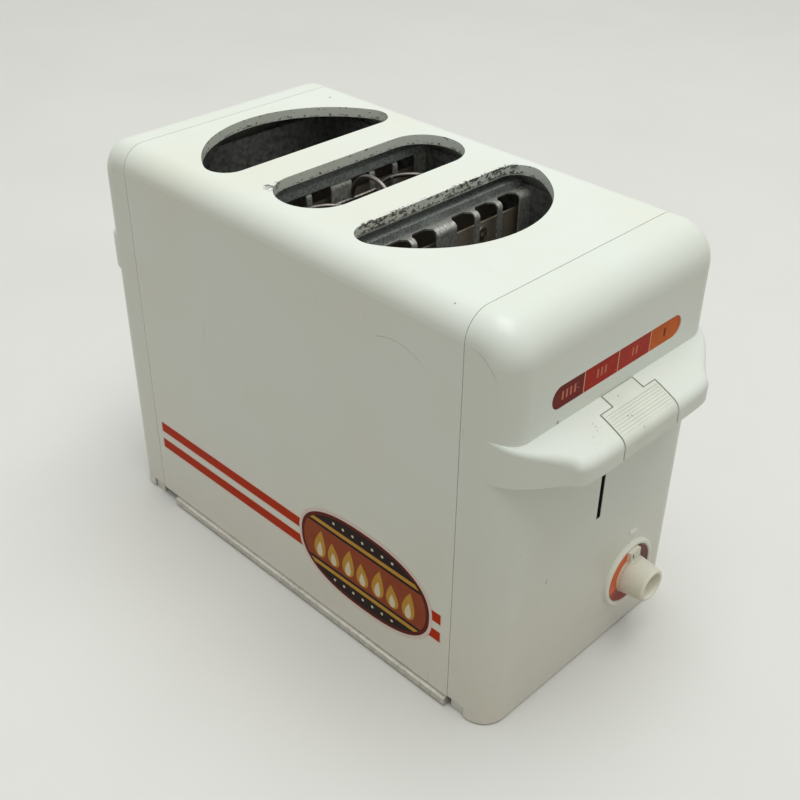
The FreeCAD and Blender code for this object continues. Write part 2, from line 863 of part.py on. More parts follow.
def card_near_x(skirt_x, side):
    """Face of the heater card that looks at its guard."""
    return skirt_x - side * card_gap


def heater_card(skirt_x, side):
    near = card_near_x(skirt_x, side)
    far = near - side * card_thickness
    card = block(min(near, far), max(near, far), -wall_y, wall_y, card_bottom, card_top)
    notches = []
    half = wall_y - ribbon_margin
    for i in range(ribbon_turns):
        z = ribbon_z(i)
        for y_side in (-1, 1):
            y0 = min(y_side * half, y_side * (half + 1.0))
            notches.append(block(min(near, far) - 1, max(near, far) + 1, y0, y0 + 1.0,
                                 z - ribbon_width / 2 - 0.3, z + ribbon_width / 2 + 0.3))
    return card.cut(notches)


def ribbon_z(i):
    pitch = (card_top - card_bottom - 16) / ribbon_turns
    return card_bottom + 10 + i * pitch


def heater_ribbon(skirt_x, side):
    """Flat wire wound round its card through the notches, one level front run for each turn."""
    near = card_near_x(skirt_x, side)
    half = wall_y - ribbon_margin + 0.5
    front = near + side * ribbon_thickness
    back = near - side * (card_thickness + ribbon_thickness)
    runs = []
    for i in range(ribbon_turns):
        z = ribbon_z(i)
        low = z - ribbon_width / 2
        high = z + ribbon_width / 2
        runs.append(block(min(near, front), max(near, front), -half - 0.3, half + 0.3, low, high))
        for y_side in (-1, 1):
            y = y_side * half
            runs.append(block(min(front, back), max(front, back), y - 0.3, y + 0.3, low, high))
        if i + 1 < ribbon_turns:
            next_z = ribbon_z(i + 1)
            back_near = near - side * card_thickness
            slanted = face_of([
                (back_near, -half - 0.3, low),
                (back_near, half + 0.3, next_z - ribbon_width / 2),
                (back_near, half + 0.3, next_z + ribbon_width / 2),
                (back_near, -half - 0.3, high),
            ]).extrude(FreeCAD.Vector(-side * ribbon_thickness, 0, 0))
            runs.append(slanted)
    return runs[0].fuse(runs[1:]).removeSplitter()


def divider_cover(side):
    """Strip that closes the divider between the bun slot and the hot dog slot."""
    if side > 0:
        near = slots_x + dog_half + dog_guard_gap
        far = front_flat_x + 1
    else:
        near = rear_flat_x - 1
        far = slots_x - dog_half - dog_guard_gap
    top = block(near, far, -wall_y, wall_y, cover_z, cover_z + plate)
    hem_a = block(near, near + plate, -wall_y, wall_y, guard_top, cover_z + plate)
    hem_b = block(far - plate, far, -wall_y, wall_y, guard_top, cover_z + plate)
    return top.fuse([hem_a, hem_b]).removeSplitter()


def card_eyelets():
    """Hollow rivets at the upper corners of the cards."""
    rings = []
    for skirt_x, side in guard_positions().values():
        near = card_near_x(skirt_x, side)
        for y in (-wall_y / 2, wall_y / 2):
            start = near if side > 0 else near - eyelet_height
            centre = FreeCAD.Vector(start, y, card_top - 5)
            length = FreeCAD.Vector(eyelet_height, 0, 0)
            rings.append(prism(eyelet_sides, eyelet_radius, centre, length).cut(
                prism(eyelet_sides, eyelet_hole, centre - length, length * 3)))
    return grouped(rings)


# Carriage

def carriage_plate():
    """Upright slider with the stem that reaches out through the cap to the lever."""
    back_x = rod_x + bush_radius
    upright = block(back_x, back_x + 1.5, -arm_width / 2, arm_width / 2, bush_z, bush_z + bush_length + 4)
    stem = block(back_x, stem_end_x(), -stem_thickness / 2, stem_thickness / 2, stem_top - stem_height, stem_top)
    return upright.fuse(stem).removeSplitter()


def carriage_bush():
    tube = cylinder(bush_radius, bush_length, rod_x, 0, bush_z, (0, 0, 1))
    bore = cylinder(rod_radius + shaft_fit, bush_length + 2, rod_x, 0, bush_z - 1, (0, 0, 1))
    return tube.cut(bore)


def lift_frame():
    """Two side bars joined by a yoke, with a strap that goes up to the bush."""
    start = min(rack_centres()) - rack_tab_width / 2 - 3
    bars = []
    for y_side in (-1, 1):
        y = y_side * lift_bar_y
        bars.append(block(start, yoke_x + 1.5, y - 0.75, y + 0.75, rack_z - lift_bar_height, rack_z))
    yoke = block(yoke_x, yoke_x + 1.5, -lift_bar_y, lift_bar_y, rack_z - lift_bar_height, rack_z)
    strap = block(yoke_x, yoke_x + 1.5, -arm_width / 2, arm_width / 2, rack_z - 2, bush_z + bush_length - 4)
    hook = block(yoke_x, rod_x - bush_radius + 0.5, -arm_width / 2, arm_width / 2,
                 bush_z + bush_length - 5.5, bush_z + bush_length - 4)
    around = cylinder(bush_radius, bush_length, rod_x, 0, bush_z, (0, 0, 1))
    return yoke.fuse(bars + [strap, hook]).cut(around).removeSplitter()


def rack(x, half_x, fingers):
    """Bread rest: a strip across the well with upturned fingers and a tab through each wall."""
    clear = wall_y - 1.0
    high = rack_z + rack_thickness
    strip = block(x - rack_strip_width / 2, x + rack_strip_width / 2, -clear, clear, rack_z, high)
    tabs = block(x - rack_tab_width / 2, x + rack_tab_width / 2, -lift_bar_y - 2, lift_bar_y + 2, rack_z, high)
    arms = []
    for i in range(fingers):
        y = (i - (fingers - 1) / 2) * 2 * clear / fingers
        y0 = y - rack_finger_width / 2
        y1 = y + rack_finger_width / 2
        arms.append(block(x - half_x, x + half_x, y0, y1, rack_z, high))
        for side in (-1, 1):
            tip = x + side * half_x
            root = tip - side * rack_thickness
            arms.append(block(min(tip, root), max(tip, root), y0, y1, rack_z, rack_z + rack_finger_rise))
    return strip.fuse([tabs] + arms).removeSplitter()


def bun_rack_front():
    return rack(rack_centres()[0], bun_rack_width / 2, bun_rack_fingers)


def dog_rack():
    half = cage_ring_radius + cage_wire + fit_gap + rack_thickness
    return rack(rack_centres()[1], half, dog_rack_fingers)


def bun_rack_rear():
    return rack(rack_centres()[2], bun_rack_width / 2, bun_rack_fingers)


def keeper_z():
    return rack_z + keeper_rise


def latch_keeper():
    """Steel angle on the yoke whose foot lands on the magnet when the lever is down."""
    back = yoke_x + 1.5
    low_y = -keeper_y - keeper_width / 2
    upright = block(back, back + 1.5, low_y, low_y + keeper_width, rack_z - lift_bar_height + 1, keeper_z())
    foot = block(back, back + keeper_reach, low_y, low_y + keeper_width, keeper_z(), keeper_z() + 2)
    return upright.fuse(foot).removeSplitter()


def guide_rod():
    return cylinder(rod_radius, rod_top - frame_z, rod_x, 0, frame_z, (0, 0, 1))


def rod_bracket():
    low = rod_top - bracket_below_rod
    high = low + bracket_sheet
    start = front_plate_x + plate
    half = bracket_width / 2
    arm = block(start, rod_x + bracket_overhang, -half, half, low, high)
    flange = block(start, start + bracket_sheet, -half, half, low - bracket_flange, high)
    hole = cylinder(rod_radius, 3 * bracket_sheet, rod_x, 0, low - bracket_sheet, (0, 0, 1))
    return arm.fuse(flange).cut(hole).removeSplitter()


def coil_point(turn, start, height):
    """Place and direction on the spring's centre line after so many turns."""
    angle = 2 * math.pi * turn
    rise = height / spring_turns
    place = FreeCAD.Vector(rod_x + spring_radius * math.cos(angle), spring_radius * math.sin(angle),
                           start + rise * turn)
    way = FreeCAD.Vector(-2 * math.pi * spring_radius * math.sin(angle),
                         2 * math.pi * spring_radius * math.cos(angle), rise)
    return place, way.normalize()


def wire_section(radius, place, way, sides):
    """Closed outline of a faceted wire, square to its direction."""
    across = way.cross(FreeCAD.Vector(0, 0, 1))
    if across.Length < 0.1:
        across = FreeCAD.Vector(1, 0, 0)
    across.normalize()
    other = way.cross(across)
    corners = []
    for i in range(sides):
        angle = 2 * math.pi * (i + 0.5) / sides
        corners.append(place + across * radius * math.cos(angle) + other * radius * math.sin(angle))
    return Part.makePolygon(corners + corners[:1])


def straight_wire(radius, length, place, way):
    """Faceted wire of one length from a place along a direction."""
    outline = wire_section(radius, place, way, wire_sides)
    return Part.Face(outline).extrude(way * length)


def wire_ring(radius, wire, centre, axis, turn):
    """Faceted wire bent round an axis by so many degrees."""
    side = FreeCAD.Vector(1, 0, 0)
    outline = wire_section(wire, centre + side * radius, axis.cross(side), wire_sides)
    return Part.Face(outline).revolve(centre, axis, turn)


def tangent_arc(first, corner, last):
    """Arc from first to last whose end tangents meet in the corner."""
    middle = (first + last) * 0.5
    half = (last - first).Length / 2
    slope = math.atan2((corner - middle).Length, half)
    share = math.tan(slope / 2) / math.tan(slope)
    return Part.Arc(first, middle + (corner - middle) * share, last).toShape()


def biarc(first, first_way, last, last_way):
    """Two arcs that join two places along their directions."""
    gap = last - first
    both = first_way + last_way
    spread = 2 * (1 - first_way.dot(last_way))
    reach = (math.sqrt(gap.dot(both) ** 2 + spread * gap.dot(gap)) - gap.dot(both)) / spread
    near = first + first_way * reach
    far = last - last_way * reach
    joint = (near + far) * 0.5
    return [tangent_arc(first, near, joint), tangent_arc(joint, far, last)]


def least_self_gap(path, wire):
    """Least gap of a coil to itself, measured on points half a turn or more apart."""
    points = [e.valueAt(e.FirstParameter + (e.LastParameter - e.FirstParameter) * i / 3)
              for e in path for i in range(3)]
    apart = len(points) // spring_turns // 2
    return min((points[i] - points[j]).Length
               for i in range(len(points)) for j in range(i + apart, len(points))) - 2 * wire


def return_spring():
    """Compression spring round the rod, from the frame to the bush."""
    start = frame_top + spring_wire + spring_seat
    height = bush_z - spring_wire - spring_seat - start
    path = []
    quarters = spring_turns * 4
    for i in range(quarters):
        first, first_way = coil_point(i / 4, start, height)
        last, last_way = coil_point((i + 1) / 4, start, height)
        path += biarc(first, first_way, last, last_way)
    print("return_spring least gap to itself", round(least_self_gap(path, spring_wire), 2))
    begin, way = coil_point(0, start, height)
    return Part.Wire(path).makePipeShell([wire_section(spring_wire, begin, way, 6)], True, False)


# Latch, switch and terminals

def magnet_top():
    return keeper_z() - lever_travel - fit_gap


def magnet_x():
    return yoke_x + 3 + fit_gap


def latch_magnet():
    """Upright steel core with a wider root."""
    low_y = -keeper_y - magnet_width / 2
    end_x = yoke_x + 1.5 + keeper_reach
    core = block(magnet_x() + 2, end_x, low_y, low_y + magnet_width, frame_top, magnet_top())
    root = block(magnet_x() + 1, end_x + 2, low_y - 3, low_y + magnet_width + 3, frame_top, frame_top + 2)
    return core.fuse(root).removeSplitter()


def magnet_coil():
    """Winding on the core, between the root and the pole."""
    low_y = -keeper_y - magnet_width / 2
    end_x = yoke_x + 1.5 + keeper_reach
    low = frame_top + 2
    core = block(magnet_x() + 2, end_x, low_y, low_y + magnet_width, low - 1, magnet_top() + 1)
    around = block(magnet_x(), end_x + 2, low_y - 2.5, low_y + magnet_width + 2.5, low, magnet_top() - 4)
    around = around.makeFillet(1.8, [e for e in around.Edges if e.BoundBox.ZLength > 9])
    return around.cut(core)


def main_switch():
    start = rod_x + switch_offset
    top = frame_top + switch_height
    body = block(start, start + switch_depth, switch_y - switch_width / 2, switch_y + switch_width / 2,
                 frame_top, top)
    button = block(start + button_size, start + 2 * button_size, switch_y - button_size / 2,
                   switch_y + button_size / 2, top, top + button_rise)
    return body.fuse(button).removeSplitter()


def terminal_block():
    start = rod_x + terminal_offset
    top = frame_top + terminal_height
    body = block(start, start + terminal_depth, terminal_y - terminal_width / 2,
                 terminal_y + terminal_width / 2, frame_top, top)
    middle = start + terminal_depth / 2
    half = pocket_size / 2
    pockets = []
    for i in (-1, 0, 1):
        y = terminal_y + i * terminal_pitch
        pockets.append(block(middle - half, middle + half, y - half, y + half, top - pocket_depth, top + 1))
    return body.cut(pockets)


# Hot dog cage

def cage_levels():
    """Heights of the lower and the upper rings; the floor wires hang clear over the rack."""
    flats = (cage_wire + 2 * cage_thin_wire) * math.cos(math.pi / wire_sides)
    return rack_z + rack_thickness + fit_gap + cage_clearance + flats, cage_top


def cage_ring_centres():
    return [FreeCAD.Vector(slots_x, y_side * cage_ring_y, z) for z in cage_levels() for y_side in (-1, 1)]


def cage_rings():
    """Upper and lower ring of both cells."""
    return grouped([wire_ring(cage_ring_radius, cage_wire, centre, FreeCAD.Vector(0, 0, 1), 360)
                    for centre in cage_ring_centres()])


def cage_posts():
    """Uprights that stand against the inside of the rings."""
    low, high = cage_levels()
    flats = (cage_wire + cage_thin_wire) * math.cos(math.pi / wire_sides)
    reach = cage_ring_radius - flats - cage_clearance
    posts = []
    for y_side in (-1, 1):
        for i in range(cage_posts_each):
            angle = 2 * math.pi * i / cage_posts_each
            outward = FreeCAD.Vector(math.cos(angle), math.sin(angle), 0)
            foot = FreeCAD.Vector(slots_x, y_side * cage_ring_y, low - cage_wire) + outward * reach
            corners = []
            for k in range(wire_sides):
                turn = angle + 2 * math.pi * (k + 0.5) / wire_sides
                corners.append(foot + FreeCAD.Vector(math.cos(turn), math.sin(turn), 0) * cage_thin_wire)
            outline = Part.makePolygon(corners + corners[:1])
            posts.append(Part.Face(outline).extrude(FreeCAD.Vector(0, 0, high - low + 2 * cage_wire)))
    return grouped(posts)


def cage_cross_wires():
    """Ties between the two cells and the floor wires of each, hung under the rings."""
    drop = (cage_wire + cage_thin_wire) * math.cos(math.pi / wire_sides) + cage_clearance
    low = cage_levels()[0]
    wires = []
    for z in cage_levels():
        for x_side in (-1, 1):
            start = FreeCAD.Vector(slots_x + x_side * cage_tie_x, -cage_tie_half, z - drop)
            wires.append(straight_wire(cage_thin_wire, 2 * cage_tie_half, start, FreeCAD.Vector(0, 1, 0)))
    for y_side in (-1, 1):
        for cross in (-1, 1):
            from_centre = cage_floor_wire * cross
            half = math.sqrt(cage_ring_radius ** 2 - from_centre ** 2)
            start = FreeCAD.Vector(slots_x - half, y_side * cage_ring_y + from_centre, low - drop)
            wires.append(straight_wire(cage_thin_wire, 2 * half, start, FreeCAD.Vector(1, 0, 0)))
    return grouped(wires)


def cage_bail():
    """Half hoop over the cage that it is lifted by; its feet stand on the upper ties."""
    drop = (cage_wire + cage_thin_wire) * math.cos(math.pi / wire_sides) + cage_clearance
    flat = cage_thin_wire * math.cos(math.pi / wire_sides)
    centre = FreeCAD.Vector(slots_x, 0, cage_top - drop + flat + cage_clearance)
    return wire_ring(cage_tie_x, cage_wire, centre, FreeCAD.Vector(0, -1, 0), 180)


# Crumb tray

def crumb_tray():
    x1 = tray_front_x
    x0 = x1 - tray_length
    y0 = -half_width + 1.0
    y1 = y0 + tray_depth
    top = tray_floor + tray_height
    outer = block(x0, x1, y0, y1, tray_floor, top)
    inner = block(x0 + tray_wall, x1 - tray_wall, y0 + tray_wall, y1 - tray_wall, tray_floor + tray_wall, top + 1)
    pan = outer.cut(inner)
    low_front = block(x0 - 1, x1 + 1, y0 - 1, y0 + 12, panel_bottom - fit_gap, top + 1)
    pan = pan.cut(low_front)
    lip_top = panel_bottom - fit_gap
    lip = block(x0, x1, -half_width - tray_lip_reach, y0 + tray_wall, lip_top - tray_lip_height, lip_top)
    front_edges = [e for e in lip.Edges
                   if e.BoundBox.XLength > 100 and abs(e.BoundBox.YMin + half_width + tray_lip_reach) < 1e-6]
    lip = lip.makeFillet(1.2, front_edges)
    return pan.fuse(lip).removeSplitter()


NODES = {
    "shell_wrap": shell_wrap,
    "front_cap": front_cap,
    "rear_cap": rear_cap,
    "cord_gland": cord_gland,
    "cook_label": cook_label,
    "push_lever": push_lever,
    "dial_bezel": dial_bezel,
    "timer_knob": timer_knob,
    "dial_label": dial_label,
    "timer_body": timer_body,
    "timer_shaft": timer_shaft,
    "base_frame": base_frame,
    "feet": feet,
    "front_bulkhead": front_bulkhead,
    "rear_bulkhead": rear_bulkhead,
    "inner_wall_left": inner_wall_left,
    "inner_wall_right": inner_wall_right,
    "card_eyelets": card_eyelets,
    "guide_rod": guide_rod,
    "rod_bracket": rod_bracket,
    "return_spring": return_spring,
    "carriage_plate": carriage_plate,
    "carriage_bush": carriage_bush,
    "lift_frame": lift_frame,
    "bun_rack_front": bun_rack_front,
    "bun_rack_rear": bun_rack_rear,
    "dog_rack": dog_rack,
    "latch_keeper": latch_keeper,
    "latch_magnet": latch_magnet,
    "magnet_coil": magnet_coil,
    "main_switch": main_switch,
    "terminal_block": terminal_block,
    "cage_rings": cage_rings,
    "cage_posts": cage_posts,
    "cage_cross_wires": cage_cross_wires,
    "cage_bail": cage_bail,
    "crumb_tray": crumb_tray,
    "cap_screws": cap_screws,
    "frame_screws": frame_screws,
}


def main():
    os.makedirs("parts", exist_ok=True)
    for name, make in NODES.items():
        make().exportStep("parts/" + name + ".step")
    for place, (skirt_x, side) in guard_positions().items():
        guard(skirt_x, side).exportStep("parts/guard_" + place + ".step")
        heater_card(skirt_x, side).exportStep("parts/heater_card_" + place + ".step")
        heater_ribbon(skirt_x, side).exportStep("parts/heater_ribbon_" + place + ".step")
    divider_cover(1).exportStep("parts/divider_cover_front.step")
    divider_cover(-1).exportStep("parts/divider_cover_rear.step")


main()
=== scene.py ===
import math

import bmesh
import bpy
from mathutils import Matrix, Vector

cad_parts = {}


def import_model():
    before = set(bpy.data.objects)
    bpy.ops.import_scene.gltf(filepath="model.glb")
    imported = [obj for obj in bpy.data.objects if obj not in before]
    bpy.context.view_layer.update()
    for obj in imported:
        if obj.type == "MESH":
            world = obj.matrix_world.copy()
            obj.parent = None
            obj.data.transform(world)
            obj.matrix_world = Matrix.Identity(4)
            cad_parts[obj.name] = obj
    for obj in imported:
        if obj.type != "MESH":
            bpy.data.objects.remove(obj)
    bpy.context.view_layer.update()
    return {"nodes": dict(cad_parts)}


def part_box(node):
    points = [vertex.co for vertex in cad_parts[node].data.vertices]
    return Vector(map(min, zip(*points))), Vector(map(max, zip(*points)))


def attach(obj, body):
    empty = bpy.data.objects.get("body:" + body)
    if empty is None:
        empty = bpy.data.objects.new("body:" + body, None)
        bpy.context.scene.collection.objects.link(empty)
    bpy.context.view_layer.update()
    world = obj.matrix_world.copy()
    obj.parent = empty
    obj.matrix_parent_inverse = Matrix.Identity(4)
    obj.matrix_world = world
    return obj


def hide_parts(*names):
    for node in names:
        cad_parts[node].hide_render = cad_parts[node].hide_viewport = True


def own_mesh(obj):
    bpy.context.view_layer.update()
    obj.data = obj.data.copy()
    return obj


# Lengths are in metres: X runs towards the lever, Y away from the printed side, Z up.

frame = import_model()
scene = bpy.context.scene
nodes = frame["nodes"]


def new_object(name, data):
    """Adds an object to the scene."""
    made = bpy.data.objects.new(name, data)
    scene.collection.objects.link(made)
    return made


# Camera at the photograph's viewpoint

CAMERA_RIGHT = (0.713188, 0.700803, 0.015391)
CAMERA_UP = (-0.404015, 0.393015, 0.826021)
CAMERA_BACK = (0.572830, -0.595327, 0.563429)
CAMERA_PLACE = (0.350778, -0.348832, 0.419412)


def set_camera():
    data = bpy.data.cameras.new("camera")
    data.sensor_width = 36.0
    data.lens = 51.778
    data.shift_x = -0.01056
    data.shift_y = 0.00846
    data.clip_start = 0.01
    data.clip_end = 50.0
    camera = new_object("camera", data)
    turn = Matrix((CAMERA_RIGHT, CAMERA_UP, CAMERA_BACK)).transposed().to_4x4()
    camera.matrix_world = Matrix.Translation(CAMERA_PLACE) @ turn
    scene.camera = camera


set_camera()
scene.view_settings.view_transform = "Standard"


# Node helpers

class Nodes:
    """A material's node tree, with short calls to add and join nodes."""

    def __init__(self, name):
        self.material = bpy.data.materials.new(name)
        self.material.use_nodes = True
        self.tree = self.material.node_tree
        self.shader = self.tree.nodes["Principled BSDF"]

    def put(self, socket, value):
        """Links an output to a socket, or sets the socket's value."""
        if hasattr(value, "is_output"):
            self.tree.links.new(value, socket)
        elif isinstance(value, tuple) and len(value) == 3 and socket.type == "RGBA":
            socket.default_value = (*value, 1.0)
        else:
            socket.default_value = value

    def fill(self, node, **values):
        for key, value in values.items():
            self.put(node.inputs[key.replace("_", " ")], value)
        return node

    def add(self, kind, **values):
        return self.fill(self.tree.nodes.new("ShaderNode" + kind), **values)

    # coordinates

    def place(self):
        return self.add("TexCoord").outputs["Object"]

    def axes(self):
        return self.add("SeparateXYZ", Vector=self.place()).outputs[:3]

    def facing(self):
        """The three parts of the surface's direction."""
        normal = self.add("NewGeometry").outputs["Normal"]
        return self.add("SeparateXYZ", Vector=normal).outputs[:3]

    def edges(self):
        """High on outward edges and low in corners."""
        return self.add("NewGeometry").outputs["Pointiness"]

    def stretched(self, scale, turn=(0, 0, 0)):
        """Coordinates scaled by axis, for drawn-out patterns."""
        return self.add("Mapping", Vector=self.place(), Scale=scale, Rotation=turn).outputs[0]

    # patterns

    def noise(self, scale, detail=4.0, rough=0.6, vector=None, bend=0.0):
        if vector is None:
            vector = self.place()
        return self.add("TexNoise", Vector=vector, Scale=scale, Detail=detail, Roughness=rough,
                        Distortion=bend).outputs["Fac"]

    def spots(self, scale):
        """Distance to the nearest of scattered points."""
        return self.add("TexVoronoi", Vector=self.place(), Scale=scale).outputs["Distance"]

    # arithmetic

    def math(self, kind, *values):
        node = self.add("Math")
        node.operation = kind
        for socket, value in zip(node.inputs, values):
            self.put(socket, value)
        return node.outputs[0]

    def times(self, first, *others):
        """Product of all values."""
        for other in others:
            first = self.math("MULTIPLY", first, other)
        return first

    def minus(self, a, b):
        return self.math("SUBTRACT", a, b)

    def apart(self, a, b):
        return self.math("ABSOLUTE", self.minus(a, b))

    def span(self, value, low, high, out_low=0.0, out_high=1.0):
        """Goes from out_low to out_high as the value goes from low to high."""
        node = self.add("MapRange", Value=value, From_Min=low, From_Max=high,
                        To_Min=out_low, To_Max=out_high)
        node.clamp = True
        return node.outputs[0]

    def between(self, value, low, high, soft):
        """1 inside low..high and 0 outside, with soft edges."""
        rise = self.span(value, low - soft, low + soft)
        fall = self.span(value, high - soft, high + soft, 1.0, 0.0)
        return self.times(rise, fall)

    def angle_round(self, y, z):
        """Angle round the timer's shaft."""
        return self.math("ARCTAN2", self.minus(z, KNOB_Z), self.minus(y, KNOB_Y))

    # results

    def mix(self, share, a, b):
        node = self.add("Mix")
        node.data_type = "RGBA"
        for index, value in ((0, share), (6, a), (7, b)):
            self.put(node.inputs[index], value)
        return node.outputs[2]

    def bump(self, height, strength, distance):
        node = self.add("Bump", Strength=strength, Distance=distance, Height=height)
        self.tree.links.new(node.outputs[0], self.shader.inputs["Normal"])

    def out(self, color, rough, metal=0.0, **constants):
        self.fill(self.shader, Base_Color=color, Roughness=rough, Metallic=metal, **constants)
        return self.material


def shade(tone, factor):
    """A colour made darker or lighter, up to full strength."""
    return tuple(min(1.0, part * factor) for part in tone)


# Places on the part

KNOB_Y, KNOB_Z = 0.0325, 0.0345     # timer's shaft
FACE_X = 0.1350                     # face of the lever end
SIDE_Y = -0.0700                    # printed long side


# Housing materials

class Shell(Nodes):
    """White housing, built up in layers of age and wear, with painted light and shade."""

    def __init__(self, name, tint):
        super().__init__(name)
        self.x, self.y, self.z = self.axes()
        self.cloud = self.noise(9.0, 5.0)
        self.fine = self.noise(160.0, 3.0)
        warm = tuple(part * keep for part, keep in zip(tint, (0.97, 0.95, 0.88)))
        self.color = self.mix(self.span(self.cloud, 0.42, 0.72), tint, warm)

    def layer(self, tone, *shares):
        """Paints a tone where all shares are high."""
        self.color = self.mix(self.times(*shares), self.color, tone)

    def aged(self):
        """Yellowed bridges, dust, a lower wall painted creamier as warm light thrown up from below,
        and brown specks.
        """
        front = self.between(self.x, 0.009, 0.030, 0.004)
        rear = self.between(self.x, -0.052, -0.030, 0.004)
        top = self.times(self.between(self.y, -0.056, 0.056, 0.010), self.span(self.z, 0.2, 0.206))
        patchy = self.span(self.cloud, 0.25, 0.7, 0.35, 1.0)
        self.layer((0.80, 0.74, 0.55), self.math("MAXIMUM", front, rear), top, patchy, 0.22)
        dusty = self.span(self.fine, 0.35, 0.7)
        self.layer((0.58, 0.53, 0.45), self.span(self.z, 0.05, 0.0), dusty, 0.14)
        # painted light: the wall turns creamier towards the bottom, for warm light thrown up from
        # below
        self.layer((0.86, 0.80, 0.73), self.span(self.z, 0.09, 0.0), 0.5)
        specks = self.span(self.spots(95.0), 0.075, 0.045)
        sparse = self.span(self.noise(21.0, 2.0, 0.55), 0.60, 0.70)
        self.layer((0.22, 0.17, 0.11), specks, sparse, 0.65)

    def scuff(self, centre, radius, ends, half_width=0.00016):
        """Thin arc high on the long side, between two places along X."""
        along = self.math("POWER", self.minus(self.x, centre[0]), 2.0)
        up = self.math("POWER", self.minus(self.z, centre[1]), 2.0)
        reach = self.math("SQRT", self.math("ADD", along, up))
        line = self.between(reach, radius - half_width, radius + half_width, 0.00012)
        part = self.between(self.x, *ends, 0.002)
        upper = self.math("GREATER_THAN", self.z, centre[1])
        side = self.math("LESS_THAN", self.y, -0.060)
        broken = self.span(self.fine, 0.36, 0.6, 0.1, 0.6)
        self.layer((0.30, 0.29, 0.27), line, part, upper, side, broken)

    def chips(self, marks, across, along, where, strength, tone):
        """Small ragged marks, each given by its places on two axes and half its size."""
        ragged = self.times(self.span(self.fine, 0.3, 0.7), 0.0009)
        for a, b, half in marks:
            far = self.math("MAXIMUM", self.apart(across, a), self.apart(along, b))
            mark = self.span(self.math("ADD", far, ragged), half * 1.5, half)
            self.layer(tone, mark, where, strength)

    def lever_grime(self):
        """Brown grime on the ledge beside the lever."""
        patch = self.times(self.between(self.y, -0.033, -0.021, 0.006),
                           self.span(self.x, 0.136, 0.141), self.span(self.z, 0.150, 0.156))
        dots = self.span(self.spots(420.0), 0.30, 0.16)
        some = self.span(self.noise(170.0, 3.0), 0.50, 0.62)
        self.layer((0.36, 0.30, 0.21), patch, dots, some)
        self.layer((0.70, 0.66, 0.54), patch, 0.12)

    def slot_painted_shade(self):
        """Painted shade: dark walls inside the lever's slot."""
        across = self.between(self.y, -0.0045, 0.0045, 0.0002)
        deep = self.between(self.x, 0.120, 0.1348, 0.0002)
        self.layer((0.035, 0.035, 0.033), across, deep, self.math("LESS_THAN", self.z, 0.154))

    def hairlines(self):
        for turn, scale in ((0.5, 1.0), (-0.9, 1.3)):
            drawn = self.stretched((520 * scale, 16, 40), (0.2, 0.3, turn))
            hair = self.span(self.noise(1.0, 2.0, 0.4, drawn), 0.715, 0.75)
            rare = self.span(self.noise(14.0 * scale, 2.0, 0.55), 0.62, 0.72)
            self.layer((0.42, 0.41, 0.38), hair, rare, 0.38)

    def burnt_edges(self):
        """Crust and smoke on the turned edges of the three openings."""
        nz = self.facing()[2]
        turned = self.times(self.span(self.z, 0.2048, 0.2058), self.span(nz, 0.75, 0.45))
        openings = self.times(self.between(self.x, -0.104, 0.082, 0.002),
                              self.between(self.y, -0.0605, 0.0605, 0.002))
        flecks = self.noise(1.0, 3.0, 0.7, self.stretched((420, 420, 700)))
        off_middle = self.math("ABSOLUTE", self.y)

        rim = self.times(self.span(self.z, 0.2078, 0.2096), 0.07)
        root = self.times(self.span(self.z, 0.2072, 0.2052), 0.17)
        # the crust is thickest along the front well's straight edge
        crust = self.times(self.between(self.x, 0.026, 0.036, 0.002),
                           self.between(self.y, -0.048, 0.052, 0.006),
                           self.span(off_middle, 0.0, 0.045, 0.5, 1.0), 0.15)
        limit = self.minus(self.minus(0.68, self.math("MAXIMUM", rim, root)), crust)
        burnt = self.math("GREATER_THAN", flecks, limit)
        self.layer((0.018, 0.015, 0.012), burnt, self.times(turned, openings), 0.93)

        # some lies on the flat sheet beside the edges
        cluster = self.times(self.span(self.noise(75.0, 3.0, 0.55), 0.44, 0.58),
                             self.span(off_middle, 0.008, 0.040, 0.25, 1.0), 0.17)
        spilt = self.math("GREATER_THAN", flecks, self.minus(0.60, cluster))
        beside_well = self.times(self.between(self.x, 0.0282, 0.0335, 0.0005),
                                 self.between(self.y, -0.047, 0.051, 0.004))
        slot_corner = self.times(self.between(self.x, -0.0300, -0.0235, 0.001),
                                 self.between(self.y, -0.050, -0.041, 0.002), 0.8)
        beside = self.math("MAXIMUM", beside_well, slot_corner)
        self.layer((0.05, 0.04, 0.03), spilt, beside, self.span(self.z, 0.206, 0.208))

        smoke = self.span(self.cloud, 0.35, 0.75, 0.05, 0.35)
        self.layer((0.50, 0.47, 0.38), turned, openings, smoke)

    def finished(self, rough, grain):
        """The material, with its uneven gloss and a fine grain."""
        uneven = self.span(self.noise(30.0), 0.3, 0.7, rough - 0.05, rough + 0.08)
        self.bump(self.noise(grain, 2.0, 0.5), 0.12, 0.0002)
        return self.out(self.color, uneven, Specular_IOR_Level=0.45, Coat_Weight=0.10,
                        Coat_Roughness=0.2)


def white_enamel():
    """Painted sheet with a few chips, and burnt edges round its openings."""
    n = Shell("white_enamel", (0.80, 0.835, 0.785))
    n.aged()
    n.scuff(centre=(0.0745, 0.1560), radius=0.0272, ends=(0.0630, 0.0925))
    marks = ((-0.0295, -0.0475, 0.0011), (-0.0262, -0.0440, 0.0006), (0.0157, 0.0042, 0.0006),
             (0.1000, -0.0640, 0.0007), (-0.0960, 0.0510, 0.0008))
    n.chips(marks, n.x, n.y, n.span(n.z, 0.205, 0.207), 0.8, (0.10, 0.09, 0.08))
    n.hairlines()
    n.burnt_edges()
    return n.finished(0.34, 260.0)


